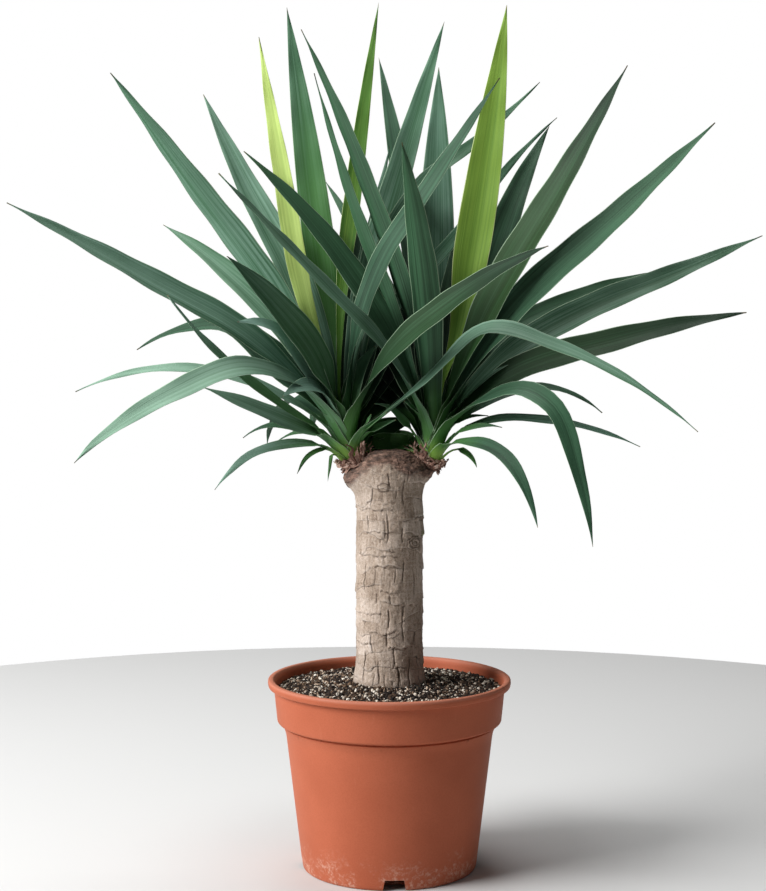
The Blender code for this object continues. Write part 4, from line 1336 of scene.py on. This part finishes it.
def clasp_route(path, rise, young):
    """Points from the foot of the head up round its core to where the leaf leaves it."""
    if young:
        foot = np.array((0.0, 0.012))
    else:
        foot = np.array((0.0062 - 0.0034 * rise, 0.0008))
    index = int(np.searchsorted(lengths_along(path), CLASP_RUN))
    leave = path[index]
    heading = path[index + 1] - path[index]
    heading = heading / np.linalg.norm(heading)
    pull = np.linalg.norm(leave - foot) / 3
    t = np.linspace(0, 1, CLASP_STATIONS)[:, None]
    first = foot + np.array((0.15, 1.0)) * pull
    second = leave - heading * pull
    curve = (1 - t) ** 3 * foot + 3 * t * (1 - t) ** 2 * first + 3 * t**2 * (1 - t) * second + t**3 * leave
    return curve[:-1], index


def leaf_path(leaf, start, young):
    """A leaf's midrib as (reach, height) from its head's foot, and how far along the blade each point is."""
    root = (0.0 if young else ROOT_REACH, start)
    count = max(FEWEST_STATIONS, round(math.dist(root, leaf.route[-1]) / BLADE_STATION) + 2)
    path = smooth_route([root, *leaf.route], count)
    along = np.arange(count) / (count - 1)
    rise = (start - LOWEST_ROOT) / ROOT_RISE
    clasp, index = clasp_route(path, min(1.0, rise), young)
    steps = np.concatenate([np.zeros(len(clasp)), along[index:]])
    return np.concatenate([clasp, path[index:]]), steps


def blade_directions(leaf, path, steps):
    """The way a leaf points, and the directions across and up from its blade along the midrib."""
    turn = math.radians(leaf.turn)
    outward = np.array((math.cos(turn), math.sin(turn), 0.0))
    side = np.array((-math.sin(turn), math.cos(turn), 0.0))
    slope = np.gradient(path, axis=0)
    heading = outward * slope[:, :1] + UP * slope[:, 1:]
    heading /= np.linalg.norm(heading, axis=1)[:, None]
    face = np.cross(heading, side)
    roll = math.radians(FRONT_TURN * math.cos(turn) if leaf.roll is None else leaf.roll)
    turned_by = (roll * np.minimum(1.0, steps / FOLD_OPENS_BY))[:, None]
    across = side * np.cos(turned_by) + face * np.sin(turned_by)
    up = face * np.cos(turned_by) - side * np.sin(turned_by)
    return outward, across, up


def leaf_line(head, leaf, chance, young=False):
    """A leaf's midrib as a line whose points carry its directions, widths and folds."""
    start = root_height(leaf, young)
    path, steps = leaf_path(leaf, start, young)
    run = lengths_along(path)
    outward, across, up = blade_directions(leaf, path, steps)
    foot = np.array((head.foot_x + head.lean * start, 0, FOOT_Z))
    place = foot + outward * path[:, :1] + UP * path[:, 1:]
    low = np.clip(path[:, 1], 0.0, start)
    place[:, 0] += head.lean * (low - start)
    neck = YOUNG_NECK_SHARE if young else NECK_SHARE
    half = leaf.width * width_share(steps, neck, leaf.taper) / 2
    wrap = np.clip(1 - run / min(CLASP_OPENS_BY, CLASP_LONGEST_SHARE * run[-1]), 0.0, 1.0)
    wrap = wrap**2 * (3 - 2 * wrap)
    clasp_half = min(CLASP_HALF_WIDTH, CLASP_SHARE * leaf.width) * (0.0 if young else 1.0)
    half = np.maximum(half, half + (clasp_half - half) * wrap)
    curl = 0.5 + wrap / np.maximum(path[:, 0], 0.0045)
    total = len(path)
    return {
        "place": place,
        "across": across,
        "up": up,
        "half": half,
        "fold": fold_angle(steps) * (1 - 0.75 * wrap),
        "curl": curl,
        "along": steps,
        "run": run,
        "tone": np.full(total, leaf.tone),
        "youth": np.full(total, leaf.youth),
        "chance": np.full(total, chance),
    }


def sweep_lines(graph, given):
    """Sweeps a plain ring, whose points know their angle round it, along the lines."""
    lines = graph.add("GeometryNodeMeshToCurve", {"Mesh": given["Geometry"]})
    size = {"Resolution": given["Section Points"], "Radius": 1.0}
    section = graph.add("GeometryNodeCurvePrimitiveCircle", size, mode="RADIUS")
    number = graph.add("GeometryNodeInputIndex")
    section = graph.keep(section, "around", number / given["Section Points"] * math.tau)
    sweep = {"Curve": lines, "Profile Curve": section, "Fill Caps": True}
    return graph.add("GeometryNodeCurveToMesh", sweep)


def blade_tree():
    """Sweeps a lens-shaped, folded and pleated section along lines that carry a blade's directions."""
    graph, given = start_tree("blades", {
        "Section Points": "Int",
        "Thickness": "Float",
        "Pleats": "Float",
        "Pleat Depth": "Float",
        "Ripple": "Float",
        "Ripple Length": "Float",
        "Material": "Material",
    })
    swept = sweep_lines(graph, given)
    around = graph.field("around")
    u = reckon("COSINE", around)
    s = reckon("SINE", around)
    half = graph.field("half")
    fold = graph.field("fold")
    curl = graph.field("curl")
    along = graph.field("along")
    chance = graph.field("chance")
    bend = u * half * curl
    flat = reckon("SINE", bend) / curl * reckon("COSINE", fold)
    ridge = reckon("SQRT", u * u + 0.02) - 0.5
    lift = (1.0 - reckon("COSINE", bend)) / curl + half * reckon("SINE", fold) * ridge
    rim = 1.0 - u * u * u * u
    pleat = reckon("COSINE", u * given["Pleats"] * math.pi) * given["Pleat Depth"] * rim * (1.0 - along)
    phase = graph.field("run") / given["Ripple Length"] * math.tau + chance * 40.0
    ripple = reckon("SINE", phase + u * 1.3) * u * u * given["Ripple"] * graph.rise(along, 0.05, 0.3)
    body = s * given["Thickness"] * 0.5 * (1.15 - reckon("ABSOLUTE", u) * 0.6)
    place = graph.field("place", "FLOAT_VECTOR")
    place = place + graph.field("across", "FLOAT_VECTOR") * flat
    place = place + graph.field("up", "FLOAT_VECTOR") * (lift + pleat + ripple + body)
    blades = graph.add("GeometryNodeSetPosition", {"Geometry": swept, "Position": place})
    sheet = graph.join(u * 0.5 + 0.5, along, 0.0)
    blades = graph.keep(blades, "leaf_sheet", sheet, "FLOAT2", "CORNER")
    return end_tree(graph, blades, given["Material"])


# What the points of a line carry only for the sweep of its blade
SWEEP_VALUES = ("place", "across", "up", "half", "fold", "curl", "around")
LEAF_BLADE = {
    "Section Points": 24,
    "Thickness": 0.0011,
    "Pleats": 5.0,
    "Pleat Depth": 0.00012,
    "Ripple": 0.0005,
    "Ripple Length": 0.045,
}
DRY_BLADE = {
    "Section Points": 14,
    "Thickness": 0.00035,
    "Pleats": 4.0,
    "Pleat Depth": 0.00015,
    "Ripple": 0.0006,
    "Ripple Length": 0.006,
}


def sweep_blades(name, lines, tree, blade, material, slot, node):
    """Makes one piece of blades along lines, in place of a node."""
    piece = lines_object(name, lines)
    grow(piece, tree, blade | {"Material": material}, SWEEP_VALUES)
    face_outward(piece)
    hand_over(piece, slot, node)


LeafFinish = namedtuple("LeafFinish", "deep middle pale young foot lowest margin tip roughness")
GREEN_FINISH = LeafFinish(
    "122A1A", "426A50", "8FB2A4", "558C3A", "4C7E3A", "8FBA4C", "A6BFA0", "7D6A4A", 0.50
)
YOUNG_FINISH = LeafFinish(
    "436E22", "86A846", "C6DC80", "86A846", "4F7A24", "8FB545", "D8E4A6", "A08A50", 0.50
)


def leaf_material(name, finish):
    """A leathery blade: lengthwise stripes, a thin pale margin, a light foot with painted shade just above
    it, and a dry tip.
    """
    material, graph, shader = start_material(name)
    sheet = graph.add("ShaderNodeUVMap", uv_map="leaf_sheet")
    x, along, _ = graph.split(sheet)
    tone = graph.point_value("tone")
    chance = graph.point_value("chance")
    run = graph.point_value("run")
    youth = graph.point_value("youth") * graph.rise(along, 0.95, 0.35)
    place = object_place(graph)
    broad = graph.noise(graph.join(x * 4.5, along * 0.9, chance * 40.0), 1.0, 3)
    fine = graph.noise(graph.join(x * 19.0, along * 1.7, chance * 60.0), 1.0, 3)
    hair = graph.noise(graph.join(x * 60.0, along * 3.0, chance * 80.0), 1.0, 2)
    patch = graph.noise(place, 22, 3)
    even_tip = 1.0 - along * 0.75
    stripes = (fine - 0.5) * 1.0 + (hair - 0.5) * 0.50
    shade = tone + (broad - 0.5) * 0.55 + stripes * even_tip + (patch - 0.5) * 0.20
    tint = graph.colours(shade, (
        (0.0, finish.deep),
        (0.5, finish.middle),
        (1.0, finish.pale),
    ))
    tint = graph.lay(tint, chance * 0.45, "F4FAD4", "MULTIPLY")
    tint = graph.lay(tint, youth, finish.young)
    # Painted shade: the blade is darker a short way above its foot, where the heart of the head lies in the
    # shade of the leaves round it
    heart_shade = graph.rise(run, 0.17, 0.07) * graph.rise(run, 0.03, 0.06)
    tint = graph.lay(tint, heart_shade * 0.35, finish.deep)
    foot = graph.rise(run + (broad - 0.5) * 0.03, 0.075, 0.018)
    tint = graph.lay(tint, foot * 0.80, finish.foot)
    lowest = graph.rise(run + (broad - 0.5) * 0.008, 0.024, 0.007)
    tint = graph.lay(tint, lowest * 0.70, finish.lowest)
    edge = graph.rise(reckon("ABSOLUTE", x - 0.5), 0.472, 0.490)
    tint = graph.lay(tint, edge * 0.75, finish.margin)
    tip = graph.rise(along + (fine - 0.5) * 0.01, 0.982, 0.996)
    tint = graph.lay(tint, tip * 0.7, finish.tip)
    bump = graph.bump(fine * 0.7 + hair * 0.3 + broad * 0.4, 0.40, 0.0006)
    dress(shader, {
        "Base Color": tint,
        "Roughness": finish.roughness + fine * 0.12 + tip * 0.3,
        "Normal": bump,
        "Specular IOR Level": 0.22,
    })
    return material


def back_leaves(head):
    """The leaves behind each head, spread by the golden angle, steep ones first and drooping ones last."""
    draw = random.Random(head.seed)
    leaves = []
    for number in range(BACK_LEAVES):
        share = (number + 0.5) / BACK_LEAVES
        turn = head.back_turn + (number * GOLDEN_ANGLE) % head.back_spread
        rise = math.radians(BACK_STEEPEST + (BACK_FLATTEST - BACK_STEEPEST) * share + draw.uniform(-4, 4))
        droop = math.radians(BACK_DROOP_STEEP + (BACK_DROOP_FLAT - BACK_DROOP_STEEP) * share)
        length = BACK_SHORTEST + (BACK_LONGEST - BACK_SHORTEST) * share + draw.uniform(-0.012, 0.012)
        reach = BACK_REACH
        height = BACK_HIGHEST - BACK_HEIGHT_FALL * share
        route = []
        for step in range(3):
            angle = rise - droop * ((step + 0.5) / 3) ** 1.5
            reach += length / 3 * math.cos(angle)
            height += length / 3 * math.sin(angle)
            route.append((reach, height))
        width = draw.uniform(BACK_NARROWEST, BACK_WIDEST)
        roll = draw.uniform(-25, 25)
        tone = 0.18 + 0.2 * (number * GOLDEN_SHARE % 1)
        leaves.append(Leaf(tone, turn, width, tuple(route), roll))
    return leaves


def gap_point(length, rise):
    """A point of a gap leaf as (reach, height), at a length and an angle from where the leaf starts."""
    return GAP_REACH + length * math.cos(rise), GAP_HEIGHT + length * math.sin(rise)


def gap_leaves(head):
    """Leaves behind the gap between the heads, dark as painted shade: two low ones and a fan leaning to the
    other head.
    """
    draw = random.Random(head.seed + 3)
    left = head.foot_x < 0
    leaves = []
    for low_turn, rise, width in LOW_GAP_LEAVES:
        turn = low_turn if left else 180 - low_turn
        route = ((0.028, rise), (0.066, rise + 0.007))
        leaves.append(Leaf(GAP_SHADE_TONE, turn, width, route, 62 if left else -62, 1.3))
    for number in range(GAP_LEAVES):
        share = (number + 0.5) / GAP_LEAVES
        inward = GAP_INWARD + (GAP_BACKWARD - GAP_INWARD) * (number * GOLDEN_SHARE % 1)
        rise = math.radians(GAP_FLATTEST + (GAP_STEEPEST - GAP_FLATTEST) * share)
        length = draw.uniform(GAP_SHORTEST, GAP_LONGEST)
        half_way = gap_point(length / 2, rise)
        end = gap_point(length, rise - GAP_BEND)
        turn = inward if left else 180 - inward
        tone = GAP_SHADE_TONE + 0.15 * draw.random()
        leaves.append(Leaf(tone, turn, draw.uniform(0.018, 0.026), (half_way, end), draw.uniform(-20, 20)))
    return leaves


def make_leaves(head, leaves, tree, material, slot, node, young=False):
    """All the leaves of one kind on a head, as one piece in place of its node."""
    draw = random.Random(head.seed + 60)
    lines = [leaf_line(head, leaf, draw.random(), young) for leaf in leaves]
    sweep_blades(f"{node}_blades", lines, tree, LEAF_BLADE, material, slot, node)


# Dry scales


SCALE_COUNT = 62
FLAP_COUNT = 28
FLAP_SPREAD = 1.20
SCALE_STATIONS = 14
WRAP_COUNT = 34
WRAP_STATIONS = 18


def inward_angle(head):
    """The angle round a head that faces the plant's middle."""
    return math.pi if head.foot_x > 0 else 0.0


def inner_side(head, angle):
    """How far an angle round a head faces the plant's middle, from 0 to 1."""
    return 0.5 + 0.5 * np.cos(angle - inward_angle(head))


def dry_line(head, draw, place, across, up, half, curl):
    """A dry strip as a line whose points carry its directions and widths."""
    count = len(place)
    share = np.linspace(0, 1, count)
    place[:, 0] += head.foot_x + head.lean * place[:, 2]
    place[:, 2] += FOOT_Z
    return {
        "place": place,
        "across": across,
        "up": up,
        "half": half,
        "fold": np.full(count, draw.uniform(0.05, 0.6)),
        "curl": curl,
        "along": share,
        "run": share * 0.02,
        "tone": np.full(count, draw.random()),
        "youth": np.zeros(count),
        "chance": np.full(count, draw.random()),
    }


def ragged(draw, share, width):
    """Half the width of a torn strip along it: uneven, and pointed at its end."""
    first = draw.uniform(0, math.tau)
    tear = 1 + 0.35 * np.sin(share * draw.uniform(7, 16) + first) + 0.2 * np.sin(share * 31 + 2 * first)
    return width * tear * (1 - share**2.5) ** 0.8 + 0.0001


def scale_size(head, draw, number):
    """The angle, length and width of a tall flap towards the plant's middle, or of a short scale."""
    if number < FLAP_COUNT:
        spread = FLAP_SPREAD * (2 * (number + 0.5) / FLAP_COUNT - 1)
        angle = inward_angle(head) + spread + draw.uniform(-0.15, 0.15)
        return angle, draw.uniform(0.012, 0.023), draw.uniform(0.0009, 0.0028)
    angle = number * math.radians(GOLDEN_ANGLE)
    return angle, draw.uniform(0.0045, 0.0085), draw.uniform(0.0012, 0.0032)


def scale_line(head, draw, number):
    """A torn dry leaf base that stands beside the foot of a head."""
    angle, length, width = scale_size(head, draw, number)
    flap = number < FLAP_COUNT
    share = np.linspace(0, 1, SCALE_STATIONS)
    pitch = draw.uniform(0.05, 0.45) + draw.uniform(-0.3, 0.9) * share**2
    pitch += 0.25 * np.sin(share * 9 + number)
    step = length / (SCALE_STATIONS - 1)
    radius = CORE_FOOT_RADIUS + 0.0014 + draw.uniform(0.0, 0.0022) * (2 if flap else 1)
    reach = radius + np.concatenate([[0.0], np.cumsum(np.sin(pitch[:-1]) * step)])
    height = -0.0010 + np.concatenate([[0.0], np.cumsum(np.cos(pitch[:-1]) * step)])
    sway = draw.uniform(-0.35, 0.35) * share**1.5 + 0.10 * np.sin(share * 11 + number)
    outward = np.stack([np.cos(angle + sway), np.sin(angle + sway), 0 * share], -1)
    side = np.stack([-np.sin(angle + sway), np.cos(angle + sway), 0 * share], -1)
    place = outward * reach[:, None] + UP * height[:, None]
    inside = UP * np.sin(pitch)[:, None] - outward * np.cos(pitch)[:, None]
    twist = (draw.uniform(-1.3, 1.3) * share**1.3)[:, None]
    across = side * np.cos(twist) + inside * np.sin(twist)
    up = inside * np.cos(twist) - side * np.sin(twist)
    curl = np.linspace(120, draw.uniform(30, 320), SCALE_STATIONS)
    return dry_line(head, draw, place, across, up, ragged(draw, share, width), curl)


def wrap_line(head, draw, number):
    """A dry fibrous strip that winds part of the way round the foot of a head and sinks onto the bark."""
    low = number / WRAP_COUNT
    share = np.linspace(0, 1, WRAP_STATIONS)
    start = draw.uniform(0, math.tau)
    angle = start + draw.choice((-1, 1)) * draw.uniform(0.7, 2.2) * share
    facing = inner_side(head, angle)
    outer = 1 - facing
    radius = CORE_FOOT_RADIUS + 0.0012 + 0.0035 * low * (1 - 1.9 * outer**2)
    radius += 0.0006 * np.sin(share * 9 + start)
    climb = 0.0040 - 0.0105 * low * outer + 0.0060 * facing**2 * (1 - 0.5 * low)
    height = climb + draw.uniform(-0.002, 0.002) * share + 0.0007 * np.sin(share * 13 + start)
    outward = np.stack([np.cos(angle), np.sin(angle), 0 * share], -1)
    upward = np.tile(UP, (WRAP_STATIONS, 1))
    place = outward * radius[:, None] + upward * height[:, None]
    tilt = draw.uniform(-0.5, 0.5) + 0.5 * low
    across = upward * math.cos(tilt) - outward * math.sin(tilt)
    up = outward * math.cos(tilt) + upward * math.sin(tilt)
    half = ragged(draw, np.abs(2 * share - 1), draw.uniform(0.0009, 0.0027))
    return dry_line(head, draw, place, across, up, half, np.full(WRAP_STATIONS, draw.uniform(40, 300)))


def scale_material():
    """Dry brown paper with paler lengthwise fibres and a cloudy unevenness."""
    material, graph, shader = start_material("dry_leaf_base")
    sheet = graph.add("ShaderNodeUVMap", uv_map="leaf_sheet")
    x, along, _ = graph.split(sheet)
    chance = graph.point_value("chance")
    fibre = graph.noise(graph.join(x * 16.0, along * 1.6, chance * 30.0), 1.0, 3)
    cloud = graph.noise(object_place(graph), 300, 3)
    shade = graph.point_value("tone") * 0.4 + fibre * 0.85 + cloud * 0.25 - 0.16
    tint = graph.colours(shade, (
        (0.25, "45291F"),
        (0.46, "855F51"),
        (0.62, "B68F7E"),
        (0.84, "E2C8B8"),
    ))
    bump = graph.bump(fibre + cloud * 0.5, 0.6, 0.0005)
    dress(shader, {"Base Color": tint, "Roughness": 0.8, "Normal": bump})
    return material


def make_scales(head, tree, material):
    draw = random.Random(head.seed + 20)
    lines = [scale_line(head, draw, number) for number in range(SCALE_COUNT)]
    lines += [wrap_line(head, draw, number) for number in range(WRAP_COUNT)]
    name = f"{head.name}_papery_scales"
    sweep_blades(name, lines, tree, DRY_BLADE, material, "dry_leaf_base", f"{head.name}_dry_scales")


def make_heads():
    tree = blade_tree()
    green = leaf_material("green_leaf", GREEN_FINISH)
    young = leaf_material("young_leaf", YOUNG_FINISH)
    dry = scale_material()
    for head, leaves, young_leaves in (
        (LEFT_HEAD, LEFT_LEAVES, LEFT_YOUNG_LEAVES),
        (RIGHT_HEAD, RIGHT_LEAVES, RIGHT_YOUNG_LEAVES),
    ):
        all_leaves = list(leaves) + back_leaves(head) + gap_leaves(head)
        make_leaves(head, all_leaves, tree, green, "green_leaf", f"{head.name}_head")
        make_leaves(head, young_leaves, tree, young, "young_leaf", f"{head.name}_young_leaves", young=True)
        make_scales(head, tree, dry)


set_camera()
set_room()
add_lamp("key", KEY_PLACE, KEY_SIZE, KEY_POWER)
add_lamp("top", TOP_PLACE, TOP_SIZE, TOP_POWER)
add_lamp("fill", FILL_PLACE, FILL_SIZE, FILL_POWER)
add_floor()
make_pot()
make_soil()
make_cane()
make_heads()
